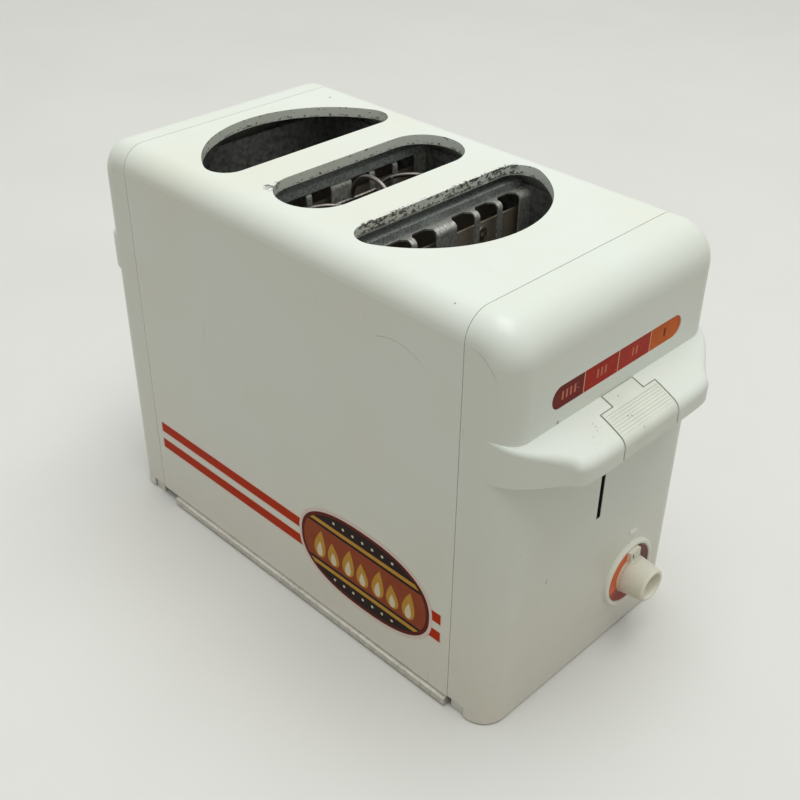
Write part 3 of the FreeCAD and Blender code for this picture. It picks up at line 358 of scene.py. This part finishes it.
def white_moulding():
    """Plastic ends with grime by the lever and painted shade inside the lever's slot."""
    n = Shell("white_moulding", (0.785, 0.82, 0.765))
    n.aged()
    n.scuff(centre=(0.1130, 0.1830), radius=0.0146, ends=(0.1160, 0.1262))
    n.lever_grime()
    marks = ((-0.0350, 0.0710, 0.0007), (-0.0345, 0.0722, 0.0006), (-0.0395, 0.1590, 0.0008),
             (-0.0560, 0.0990, 0.0006), (0.0480, 0.1120, 0.0005))
    n.chips(marks, n.y, n.z, n.span(n.facing()[0], 0.4, 0.6), 0.6, (0.16, 0.15, 0.13))
    # painted shade inside the lever's slot
    n.slot_painted_shade()
    n.hairlines()
    return n.finished(0.36, 420.0)


# Metal, board and small plastic parts

# wear is the tone of the lighter edges: partly rubbed metal, partly a painted highlight
def worn(name, base, dark, metal, rough, wear=(0.55, 0.55, 0.55), scale=1.0, soot=0.5, brushed=None):
    """Metal or board with blotches, soot, and edges lightened both by rubbing and as a painted
    highlight; brushed is the scale of its lines.
    """
    n = Nodes(name)
    blot = n.noise(26.0 * scale, 6.0, 0.65, bend=0.4)
    grain = n.noise(330.0 * scale, 4.0, 0.65)
    color = n.mix(n.span(blot, 0.35, 0.68), base, dark)
    color = n.mix(n.times(n.span(grain, 0.52, 0.72), soot), color, shade(dark, 0.28))
    # edges take the wear tone: rubbed metal, and a painted highlight on the rims
    color = n.mix(n.times(n.span(n.edges(), 0.52, 0.60), n.span(grain, 0.3, 0.6)), color, wear)
    height = grain
    if brushed:
        lines = n.noise(1.0, 3.0, 0.6, n.stretched(brushed))
        color = n.mix(n.span(lines, 0.35, 0.65, 0.0, 0.28), color, shade(base, 1.5))
        height = n.math("ADD", grain, lines)
    n.bump(height, 0.22, 0.0002)
    return n.out(color, n.span(blot, 0.3, 0.7, rough - 0.08, rough + 0.12), metal)


def plastic(name, base, rough, mottle=0.9, speck=0.0, ribs=False):
    """Moulded plastic with painted shade in its corners; ribs are those of the knob's barrel, with
    painted shade in their grooves.
    """
    n = Nodes(name)
    cloud = n.noise(60.0)
    color = n.mix(n.span(cloud, 0.4, 0.7), base, shade(base, mottle))
    # painted shade: darker in corners and creases
    color = n.mix(n.times(n.span(n.edges(), 0.49, 0.44), 0.5), color, shade(base, 0.35))
    if speck:
        dots = n.span(n.spots(260.0), 0.12, 0.07)
        some = n.span(n.noise(60.0, 2.0, 0.55), 0.5, 0.62)
        color = n.mix(n.times(dots, some, speck), color, (0.17, 0.13, 0.08))
    if ribs:
        x, y, z = n.axes()
        wave = n.math("SINE", n.times(n.angle_round(y, z), 72.0))
        barrel = n.between(x, 0.1375, 0.1492, 0.0003)
        # painted shade in the grooves between the ribs
        color = n.mix(n.times(n.span(wave, 0.1, -0.9), barrel, 0.30), color, shade(base, 0.55))
        n.bump(n.times(wave, barrel), 0.35, 0.0003)
    else:
        n.bump(n.noise(700.0, 2.0, 0.55), 0.1, 0.0001)
    return n.out(color, n.span(cloud, 0.3, 0.7, rough - 0.04, rough + 0.08))


# Printed labels

def cook_print():
    """Four fields across the strip, with pale joints."""
    n = Nodes("cook_print")
    y = n.axes()[1]
    wear = n.noise(240.0, 4.0, 0.7)
    joints = (-0.0235, -0.0006, 0.0220)
    color = (0.185, 0.020, 0.018)
    for joint, tone in zip(joints, ((0.43, 0.022, 0.010), (0.47, 0.032, 0.016), (0.66, 0.135, 0.014))):
        color = n.mix(n.math("GREATER_THAN", y, joint), color, tone)
    color = n.mix(n.span(n.noise(90.0), 0.35, 0.75, 0.0, 0.30), color, (0.22, 0.02, 0.012))
    for joint in joints:
        line = n.between(y, joint - 0.00022, joint + 0.00022, 0.0001)
        color = n.mix(line, color, (0.85, 0.52, 0.36))
    rubbed = n.math("GREATER_THAN", wear, 0.70)
    color = n.mix(n.times(rubbed, 0.5), color, (0.80, 0.50, 0.38))
    n.bump(wear, 0.1, 0.0001)
    return n.out(color, n.span(wear, 0.3, 0.7, 0.25, 0.40), Specular_IOR_Level=0.06)


def dial_print():
    """Ring whose tones change with the angle round the shaft."""
    n = Nodes("dial_print")
    _, y, z = n.axes()
    angle = n.angle_round(y, z)
    orange = (0.84, 0.17, 0.045)
    color = (0.46, 0.045, 0.018)
    for start, tone in ((-2.5, (0.30, 0.020, 0.012)), (-1.5, (0.085, 0.010, 0.009)),
                        (0.6, (0.13, 0.014, 0.010)), (1.72, orange)):
        color = n.mix(n.math("GREATER_THAN", angle, start), color, tone)
    color = n.mix(n.math("LESS_THAN", angle, -2.75), color, orange)
    fade = n.noise(300.0, 3.0)
    color = n.mix(n.span(fade, 0.45, 0.75, 0.0, 0.15), color, (0.75, 0.35, 0.20))
    return n.out(color, n.span(fade, 0.3, 0.7, 0.3, 0.42), Specular_IOR_Level=0.16)


def ink(name, tone, faded):
    """Printed colour with a slight mottle."""
    n = Nodes(name)
    spread = n.noise(190.0)
    color = n.mix(n.span(spread, 0.4, 0.75, 0.0, 0.35), tone, faded)
    n.bump(spread, 0.06, 0.0001)
    return n.out(color, n.span(spread, 0.3, 0.7, 0.32, 0.43), Specular_IOR_Level=0.05)


RED_INK = ink("stripe_ink", (0.52, 0.036, 0.006), (0.45, 0.042, 0.010))
PALE_INK = ink("pale_ink", (0.84, 0.72, 0.66), (0.74, 0.60, 0.54))
WHITE_INK = ink("white_ink", (0.93, 0.94, 0.90), (0.86, 0.87, 0.82))
SOFT_INK = ink("soft_ink", (0.62, 0.20, 0.13), (0.50, 0.13, 0.085))
DARK_INK = ink("dark_ink", (0.022, 0.014, 0.013), (0.035, 0.022, 0.018))
MAROON_INK = ink("maroon_ink", (0.13, 0.020, 0.014), (0.10, 0.018, 0.013))
MUSTARD_INK = ink("mustard_ink", (0.60, 0.33, 0.055), (0.50, 0.22, 0.04))
BRICK_INK = ink("brick_ink", (0.33, 0.075, 0.030), (0.24, 0.05, 0.022))
CREAM_INK = ink("cream_ink", (0.80, 0.72, 0.55), (0.70, 0.60, 0.42))


# Materials of the frame's nodes

WIRE_STEEL = worn("wire_steel", (0.20, 0.185, 0.165), (0.055, 0.047, 0.040), 0.95, 0.34,
                  wear=(0.42, 0.40, 0.37), scale=2.0)
SPRING_STEEL = worn("spring_steel", (0.34, 0.34, 0.35), (0.20, 0.20, 0.21), 1.0, 0.3)
SLOT_SIDES = ("bun_front", "dog_front", "dog_rear", "bun_rear")


def beside_slots(kind):
    """Names of the four nodes of one kind."""
    return " ".join(kind + side for side in SLOT_SIDES)


dressed = (
    (white_enamel(), "shell_wrap"),
    (white_moulding(), "front_cap rear_cap"),
    (plastic("lever_plastic", (0.76, 0.79, 0.71), 0.38, 0.93, speck=0.8), "push_lever"),
    (plastic("knob_plastic", (0.91, 0.88, 0.75), 0.42, 0.94, speck=0.3, ribs=True), "timer_knob"),
    (plastic("bezel_plastic", (0.92, 0.92, 0.84), 0.36, 0.96), "dial_bezel"),
    (plastic("foot_plastic", (0.74, 0.75, 0.70), 0.42, 0.86), "feet"),
    (plastic("gland_rubber", (0.035, 0.035, 0.036), 0.62, 0.8), "cord_gland"),
    (plastic("timer_case", (0.07, 0.07, 0.075), 0.5, 0.8), "timer_body"),
    (plastic("switch_case", (0.05, 0.05, 0.055), 0.45, 0.8), "main_switch"),
    (plastic("terminal_plastic", (0.62, 0.60, 0.50), 0.45, 0.88), "terminal_block"),
    (plastic("bush_plastic", (0.66, 0.64, 0.55), 0.45), "carriage_bush"),
    (worn("guard_steel", (0.220, 0.218, 0.198), (0.115, 0.112, 0.100), 0.30, 0.38,
          wear=(0.55, 0.55, 0.51), scale=2.4, soot=0.8), beside_slots("guard_")),
    (worn("cover_steel", (0.150, 0.170, 0.165), (0.062, 0.070, 0.070), 0.30, 0.38,
          wear=(0.42, 0.44, 0.43), scale=2.6, soot=0.95), "divider_cover_front divider_cover_rear"),
    (worn("mica_board", (0.290, 0.245, 0.190), (0.150, 0.122, 0.092), 0.0, 0.5,
          wear=(0.38, 0.33, 0.26), scale=0.9, soot=0.6, brushed=(30, 30, 340)),
     beside_slots("heater_card_")),
    (worn("ribbon_alloy", (0.34, 0.31, 0.28), (0.16, 0.14, 0.12), 0.7, 0.42),
     beside_slots("heater_ribbon_")),
    (worn("plate_steel", (0.085, 0.086, 0.082), (0.045, 0.045, 0.044), 0.4, 0.55,
          wear=(0.22, 0.22, 0.21), soot=0.6),
     "front_bulkhead rear_bulkhead inner_wall_left inner_wall_right"),
    (worn("frame_steel", (0.46, 0.46, 0.44), (0.30, 0.29, 0.27), 0.95, 0.36,
          wear=(0.62, 0.62, 0.60), soot=0.3, brushed=(12, 420, 420)),
     "base_frame rod_bracket carriage_plate lift_frame"),
    (worn("shaft_steel", (0.52, 0.52, 0.52), (0.38, 0.38, 0.38), 1.0, 0.26,
          wear=(0.7, 0.7, 0.7), soot=0.2, brushed=(600, 600, 20)), "timer_shaft guide_rod"),
    (SPRING_STEEL, "return_spring"),
    (WIRE_STEEL, "bun_rack_front bun_rack_rear dog_rack "
                 "cage_rings cage_posts cage_cross_wires cage_bail"),
    (worn("eyelet_steel", (0.42, 0.40, 0.36), (0.18, 0.16, 0.13), 1.0, 0.32,
          wear=(0.6, 0.58, 0.53)), "card_eyelets"),
    (worn("magnet_steel", (0.26, 0.26, 0.27), (0.14, 0.14, 0.15), 0.95, 0.4),
     "latch_keeper latch_magnet"),
    (worn("coil_copper", (0.45, 0.16, 0.06), (0.26, 0.09, 0.04), 0.8, 0.35,
          wear=(0.6, 0.25, 0.1), soot=0.2, brushed=(60, 60, 1800)), "magnet_coil"),
    (worn("tray_steel", (0.50, 0.475, 0.415), (0.34, 0.32, 0.275), 0.55, 0.42,
          wear=(0.62, 0.60, 0.54), soot=0.3, brushed=(14, 380, 380)), "crumb_tray"),
    (worn("screw_steel", (0.45, 0.45, 0.44), (0.30, 0.30, 0.29), 1.0, 0.34),
     "cap_screws frame_screws"),
    (cook_print(), "cook_label"),
    (dial_print(), "dial_label"),
)
material_of = {name: material for material, names in dressed for name in names.split()}
for name, shown in nodes.items():
    shown.data.materials.clear()
    shown.data.materials.append(material_of[name])


# Printed pieces

LAYER = 0.00002     # unit for how high a printed layer lies above its wall
INK_THICK = 0.00004


def add_mesh(name, made, material):
    """Turns a finished bmesh into an object."""
    bmesh.ops.recalc_face_normals(made, faces=made.faces)
    mesh = bpy.data.meshes.new(name)
    made.to_mesh(mesh)
    made.free()
    mesh.materials.append(material)
    return new_object(name, mesh)


def printed(name, points, lift, material, thick=INK_THICK, origin=(0, SIDE_Y, 0), u=(1, 0, 0),
            v=(0, 0, 1), out=(0, -1, 0), body="housing"):
    """Flat outline with a small thickness on a wall, which is the long side unless given."""
    base, across, up, away = Vector(origin), Vector(u), Vector(v), Vector(out)
    made = bmesh.new()
    low = [made.verts.new(base + across * a + up * b + away * lift) for a, b in points]
    high = [made.verts.new(base + across * a + up * b + away * (lift + thick)) for a, b in points]
    made.faces.new(high)
    made.faces.new(low[::-1])
    for i in range(len(points)):
        made.faces.new((low[i - 1], low[i], high[i], high[i - 1]))
    shown = add_mesh(name, made, material)
    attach(shown, body)


def strip(x0, x1, z0, z1):
    return [(x0, z0), (x1, z0), (x1, z1), (x0, z1)]


def lens(cx, cz, half_x, half_z, power, count=72):
    """Outline of a superellipse."""
    made = []
    for i in range(count):
        angle = 2 * math.pi * i / count
        c, s = math.cos(angle), math.sin(angle)
        made.append((cx + half_x * math.copysign(abs(c) ** (2 / power), c),
                     cz + half_z * math.copysign(abs(s) ** (2 / power), s)))
    return made


# Two stripes along the side, each on a pale edge

STRIPE_X = (-0.1057, 0.1049)
STRIPE_EDGE_X, STRIPE_EDGE_Z = 0.0005, 0.0006
for label, low, high in (("upper", 0.0477, 0.0536), ("lower", 0.0369, 0.0428)):
    edge = strip(STRIPE_X[0] - STRIPE_EDGE_X, STRIPE_X[1] + STRIPE_EDGE_X,
                 low - STRIPE_EDGE_Z, high + STRIPE_EDGE_Z)
    printed(f"stripe_{label}_edge", edge, LAYER, PALE_INK)
    printed(f"stripe_{label}", strip(*STRIPE_X, low, high), 3 * LAYER, RED_INK)

# Generic badge: a long rounded plaque with a row of flames between two bands

BADGE_X, BADGE_Z, BADGE_POWER = 0.0545, 0.0470, 2.4
BADGE_HALF_X, BADGE_HALF_Z = 0.0416, 0.0222
FLAMES, FLAME_PITCH, FLAME_WIDTH, FLAME_DROP = 7, 0.0101, 0.0086, 0.0092
CORE_WIDTH, CORE_DROP = 0.0042, 0.0086
CORE_HEIGHT, CORE_LEAN = 0.55, 0.4      # shares of the flame's own
DOTS, DOT_PITCH, DOT_RISE, DOT_RADIUS = 7, 0.0066, 0.0180, 0.0008


def plaque_part(low, high, steps=16):
    """Outline of the plaque between two heights above its middle."""
    made = []
    for hand, start, end in ((1, low, high), (-1, high, low)):
        for i in range(steps + 1):
            rise = start + (end - start) * i / steps
            reach = (1 - abs(rise / BADGE_HALF_Z) ** BADGE_POWER) ** (1 / BADGE_POWER)
            made.append((BADGE_X + hand * BADGE_HALF_X * reach, BADGE_Z + rise))
    return made


def flame(cx, foot, height, width, lean, count=24):
    """Outline of a drop that narrows to a leaning tip."""
    made = []
    for i in range(count):
        angle = 2 * math.pi * i / count
        rise = (1 - math.cos(angle)) / 2
        wide = width / 2 * math.sin(angle) * (1 - rise) ** 0.55 * 1.25
        made.append((cx + wide + lean * rise ** 2, foot + height * rise))
    return made


for label, grow, lift, tone in (("halo", 0.0038, 6, PALE_INK), ("rim", 0.0020, 8, MAROON_INK),
                                ("field", 0.0, 10, DARK_INK)):
    outline = lens(BADGE_X, BADGE_Z, BADGE_HALF_X + grow, BADGE_HALF_Z + grow, BADGE_POWER)
    printed("badge_" + label, outline, lift * LAYER, tone)
for label, low, high, tone in (("band_top", 0.0125, 0.0148, MUSTARD_INK),
                               ("band_low", -0.0148, -0.0125, MUSTARD_INK),
                               ("panel", -0.0108, 0.0108, BRICK_INK)):
    printed("badge_" + label, plaque_part(low, high), 12 * LAYER, tone)
for i in range(FLAMES):
    cx = BADGE_X + (i - FLAMES // 2) * FLAME_PITCH
    tall, lean = (0.0172, 0.0014) if i % 2 == 0 else (0.0138, -0.0012)
    outer = flame(cx, BADGE_Z - FLAME_DROP, tall, FLAME_WIDTH, lean)
    core = flame(cx, BADGE_Z - CORE_DROP, tall * CORE_HEIGHT, CORE_WIDTH, lean * CORE_LEAN)
    printed(f"badge_flame_{i}", outer, 14 * LAYER, MUSTARD_INK)
    printed(f"badge_flame_core_{i}", core, 16 * LAYER, CREAM_INK)
for i in range(DOTS):
    cx = BADGE_X + (i - DOTS // 2) * DOT_PITCH
    for row, hand in (("top", 1), ("low", -1)):
        dot = lens(cx, BADGE_Z + hand * DOT_RISE, DOT_RADIUS, DOT_RADIUS, 2.0, 16)
        printed(f"badge_dot_{i}_{row}", dot, 12 * LAYER, CREAM_INK)

# Marks on the lever end: raised tick, pointer's mark, label's rim and its bars

TICK_Y, TICK_LONG = 0.0300, 0.0049
TICK_FOOT_Z, TICK_TIP_Z, TICK_OUT = 0.0599, 0.0615, 0.0010
POINTER_RISE = 0.0034   # from the knob's back to the face that carries the mark
POINTER_Y, POINTER_Z, POINTER_HALF_Y, POINTER_HALF_Z = 0.0306, 0.0474, 0.0004, 0.0014
LABEL_Z, LABEL_HALF_Y, LABEL_HALF_Z, LABEL_POWER = 0.1709, 0.0449, 0.0058, 4.0
LABEL_FLOOR_X, LABEL_TOP_X = 0.1342, 0.1346
BAR_PITCH, BAR_HALF_Y, BAR_HALF_Z = 0.0026, 0.0006, 0.0020
MARK_THICK, BAR_THICK = 0.00006, 0.00005


def on_end(x):
    """Wall that faces the lever end, at a place along X."""
    return dict(origin=(x, 0, 0), u=(0, 1, 0), v=(0, 0, 1), out=(1, 0, 0))


wedge = [(FACE_X, TICK_FOOT_Z), (FACE_X + TICK_OUT, TICK_FOOT_Z), (FACE_X, TICK_TIP_Z)]
printed("dial_tick", wedge, TICK_Y, WHITE_INK, thick=TICK_LONG, origin=(0, 0, 0), out=(0, 1, 0))
dash = lens(POINTER_Y, POINTER_Z, POINTER_HALF_Y, POINTER_HALF_Z, 2.0, 24)
pointer_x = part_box("timer_knob")[0][0] + POINTER_RISE
printed("pointer_mark", dash, LAYER, DARK_INK, thick=MARK_THICK, body="knob", **on_end(pointer_x))
rim = lens(0.0, LABEL_Z, LABEL_HALF_Y, LABEL_HALF_Z, LABEL_POWER, 96)
printed("label_rim", rim, 0.0, PALE_INK, thick=MARK_THICK, **on_end(LABEL_FLOOR_X))
for field, (middle, bars, tone) in enumerate(((-0.0335, 4, SOFT_INK), (-0.0120, 3, SOFT_INK),
                                              (0.0108, 2, SOFT_INK), (0.0325, 1, MAROON_INK))):
    for bar in range(bars):
        y = middle + (bar - (bars - 1) / 2) * BAR_PITCH
        outline = strip(y - BAR_HALF_Y, y + BAR_HALF_Y, LABEL_Z - BAR_HALF_Z, LABEL_Z + BAR_HALF_Z)
        printed(f"label_mark_{field}_{bar}", outline, LAYER / 2, tone, thick=BAR_THICK,
                **on_end(LABEL_TOP_X))


# Wire cage: two round baskets joined by ties and a hoop

CAGE_X, BASKET_Y, RING = -0.0107, 0.027, 0.0165     # middle, offset of a basket, ring's radius
LEVELS = (0.0682, 0.1925)
DROP = 0.00187                                      # between the middles of two crossing wires
THICK_WIRE, THIN_WIRE = 0.0011, 0.0009
TIE_X, TIE_HALF = 0.014, 0.0195                     # offset of a tie, half its length
FLOOR_OFFSET = 0.0058
HOOP_Z, HOOP_STEPS = 0.1915, 40
POSTS = 6


def wire(name, points, radius, closed=False):
    """Round wire along points, riding with the cage."""
    data = bpy.data.curves.new(name, "CURVE")
    data.dimensions = "3D"
    data.bevel_depth = radius
    data.bevel_resolution = 4
    data.use_fill_caps = True
    line = data.splines.new("POLY")
    line.points.add(len(points) - 1)
    for spot, place in zip(line.points, points):
        spot.co = (*place, 1.0)
    line.use_cyclic_u = closed
    data.materials.append(WIRE_STEEL)
    shown = new_object(name, data)
    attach(shown, "cage")
    return shown


def circle(cx, cy, z, radius, count):
    angles = [2 * math.pi * i / count for i in range(count)]
    return [(cx + radius * math.cos(a), cy + radius * math.sin(a), z) for a in angles]


for z, level in zip(LEVELS, ("low", "top")):
    for hand, side in (("left", -1), ("right", 1)):
        ring = circle(CAGE_X, side * BASKET_Y, z, RING, 64)
        wire(f"cage_ring_{level}_{hand}", ring, THICK_WIRE, closed=True)
    for hand, side in (("back", -1), ("fore", 1)):
        x = CAGE_X + side * TIE_X
        wire(f"cage_tie_{level}_{hand}",
                         [(x, -TIE_HALF, z - DROP), (x, TIE_HALF, z - DROP)], THIN_WIRE)
for hand, side in (("left", -1), ("right", 1)):
    for i, (x, y, _) in enumerate(circle(CAGE_X, side * BASKET_Y, 0.0, RING - DROP, POSTS)):
        ends = [(x, y, LEVELS[0] - THICK_WIRE), (x, y, LEVELS[1] + THICK_WIRE)]
        wire(f"cage_post_{hand}_{i}", ends, THIN_WIRE)
    half = math.sqrt(RING ** 2 - FLOOR_OFFSET ** 2)
    for label, cross in (("a", -1), ("b", 1)):
        y, z = side * BASKET_Y + cross * FLOOR_OFFSET, LEVELS[0] - DROP
        wire(f"cage_floor_{hand}_{label}",
                         [(CAGE_X - half, y, z), (CAGE_X + half, y, z)], THIN_WIRE)
turns = [math.pi * i / HOOP_STEPS for i in range(HOOP_STEPS + 1)]
hoop = [(CAGE_X + TIE_X * math.cos(turn), 0.0, HOOP_Z + TIE_X * math.sin(turn)) for turn in turns]
wire("cage_hoop", hoop, THICK_WIRE)
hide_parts("cage_rings", "cage_posts", "cage_cross_wires", "cage_bail")


# Return spring: a coil fixed to the housing at one length; the real one shortens when the lever goes
# down

TURNS, STEPS, SIDES = 6, 32, 8      # turns, steps in a turn, sides of the wire
COIL_WIRE, COIL_INSET = 0.00065, 0.0001


def coil_mesh(foot, height, radius):
    """bmesh of round wire wound upwards from foot."""
    made = bmesh.new()
    last = []
    for i in range(TURNS * STEPS + 1):
        share = i / (TURNS * STEPS)
        angle = 2 * math.pi * TURNS * share
        outward, up = Vector((math.cos(angle), math.sin(angle), 0)), Vector((0, 0, 1))
        centre = foot + up * (COIL_WIRE + (height - 2 * COIL_WIRE) * share) + outward * radius
        ring = [made.verts.new(centre + (outward * math.cos(b) + up * math.sin(b)) * COIL_WIRE)
                for b in (2 * math.pi * k / SIDES for k in range(SIDES))]
        if last:
            for k in range(SIDES):
                made.faces.new((last[k], last[k - 1], ring[k - 1], ring[k]))
        else:
            made.faces.new(ring)
        last = ring
    made.faces.new(last[::-1])
    return made


low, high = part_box("return_spring")
middle, height = (low + high) / 2, high.z - low.z
foot = Vector((middle.x, middle.y, low.z))
coil_radius = (high.y - low.y) / 2 - COIL_WIRE - COIL_INSET
coil = add_mesh("return_spring_coil", coil_mesh(foot, height, coil_radius), SPRING_STEEL)
coil.data.polygons.foreach_set("use_smooth", [True] * len(coil.data.polygons))
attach(coil, "housing")
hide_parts("return_spring")
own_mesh(coil)


# Floor, world and lamp

FLOOR_HALF = 6.0


def is_seen(tree):
    """1 for rays that see the floor or sky directly, in a reflection or through glass."""
    rays = tree.nodes.new("ShaderNodeLightPath").outputs
    seen = rays["Is Camera Ray"]
    for kind in ("Is Glossy Ray", "Is Transmission Ray"):
        either = tree.nodes.new("ShaderNodeMath")
        either.operation = "MAXIMUM"
        tree.links.new(seen, either.inputs[0])
        tree.links.new(rays[kind], either.inputs[1])
        seen = either.outputs[0]
    return seen


def floor():
    """Pale floor that throws back dim, warm light."""
    n = Nodes("floor")
    grain = n.noise(6.0, 3.0, 0.5)
    pale = n.mix(n.span(grain, 0.3, 0.7), (0.80, 0.79, 0.77), (0.77, 0.76, 0.74))
    n.out(n.mix(is_seen(n.tree), (0.34, 0.29, 0.235), pale), 0.7)
    mesh = bpy.data.meshes.new("floor")
    corners = [(-FLOOR_HALF, -FLOOR_HALF, 0), (FLOOR_HALF, -FLOOR_HALF, 0),
               (FLOOR_HALF, FLOOR_HALF, 0), (-FLOOR_HALF, FLOOR_HALF, 0)]
    mesh.from_pydata(corners, [], [(0, 1, 2, 3)])
    mesh.materials.append(n.material)
    new_object("floor", mesh)


def world():
    """Soft sky light, and a brighter sky where the background is seen."""
    made = bpy.data.worlds.new("world")
    scene.world = made
    made.use_nodes = True
    tree = made.node_tree
    blend = tree.nodes.new("ShaderNodeMixShader")
    tree.links.new(is_seen(tree), blend.inputs[0])
    light, seen = tree.nodes["Background"], tree.nodes.new("ShaderNodeBackground")
    for socket, sky, color, strength in ((blend.inputs[1], light, (0.97, 1.0, 0.95), 0.48),
                                         (blend.inputs[2], seen, (0.90, 0.90, 0.89), 1.0)):
        sky.inputs["Color"].default_value = (*color, 1.0)
        sky.inputs["Strength"].default_value = strength
        tree.links.new(sky.outputs[0], socket)
    tree.links.new(blend.outputs[0], tree.nodes["World Output"].inputs["Surface"])


def lamp():
    """One large soft lamp overhead."""
    data = bpy.data.lights.new("key", "AREA")
    data.shape = "RECTANGLE"
    data.size, data.size_y = 1.9, 1.5
    data.energy = 28.5
    data.color = (0.98, 1.0, 0.97)
    shown = new_object("key", data)
    place, target = Vector((0.18, 0.12, 2.2)), Vector((0, 0, 0.1))
    shown.location = place
    shown.rotation_mode = "QUATERNION"
    shown.rotation_quaternion = (target - place).to_track_quat("-Z", "Y")


floor()
world()
lamp()
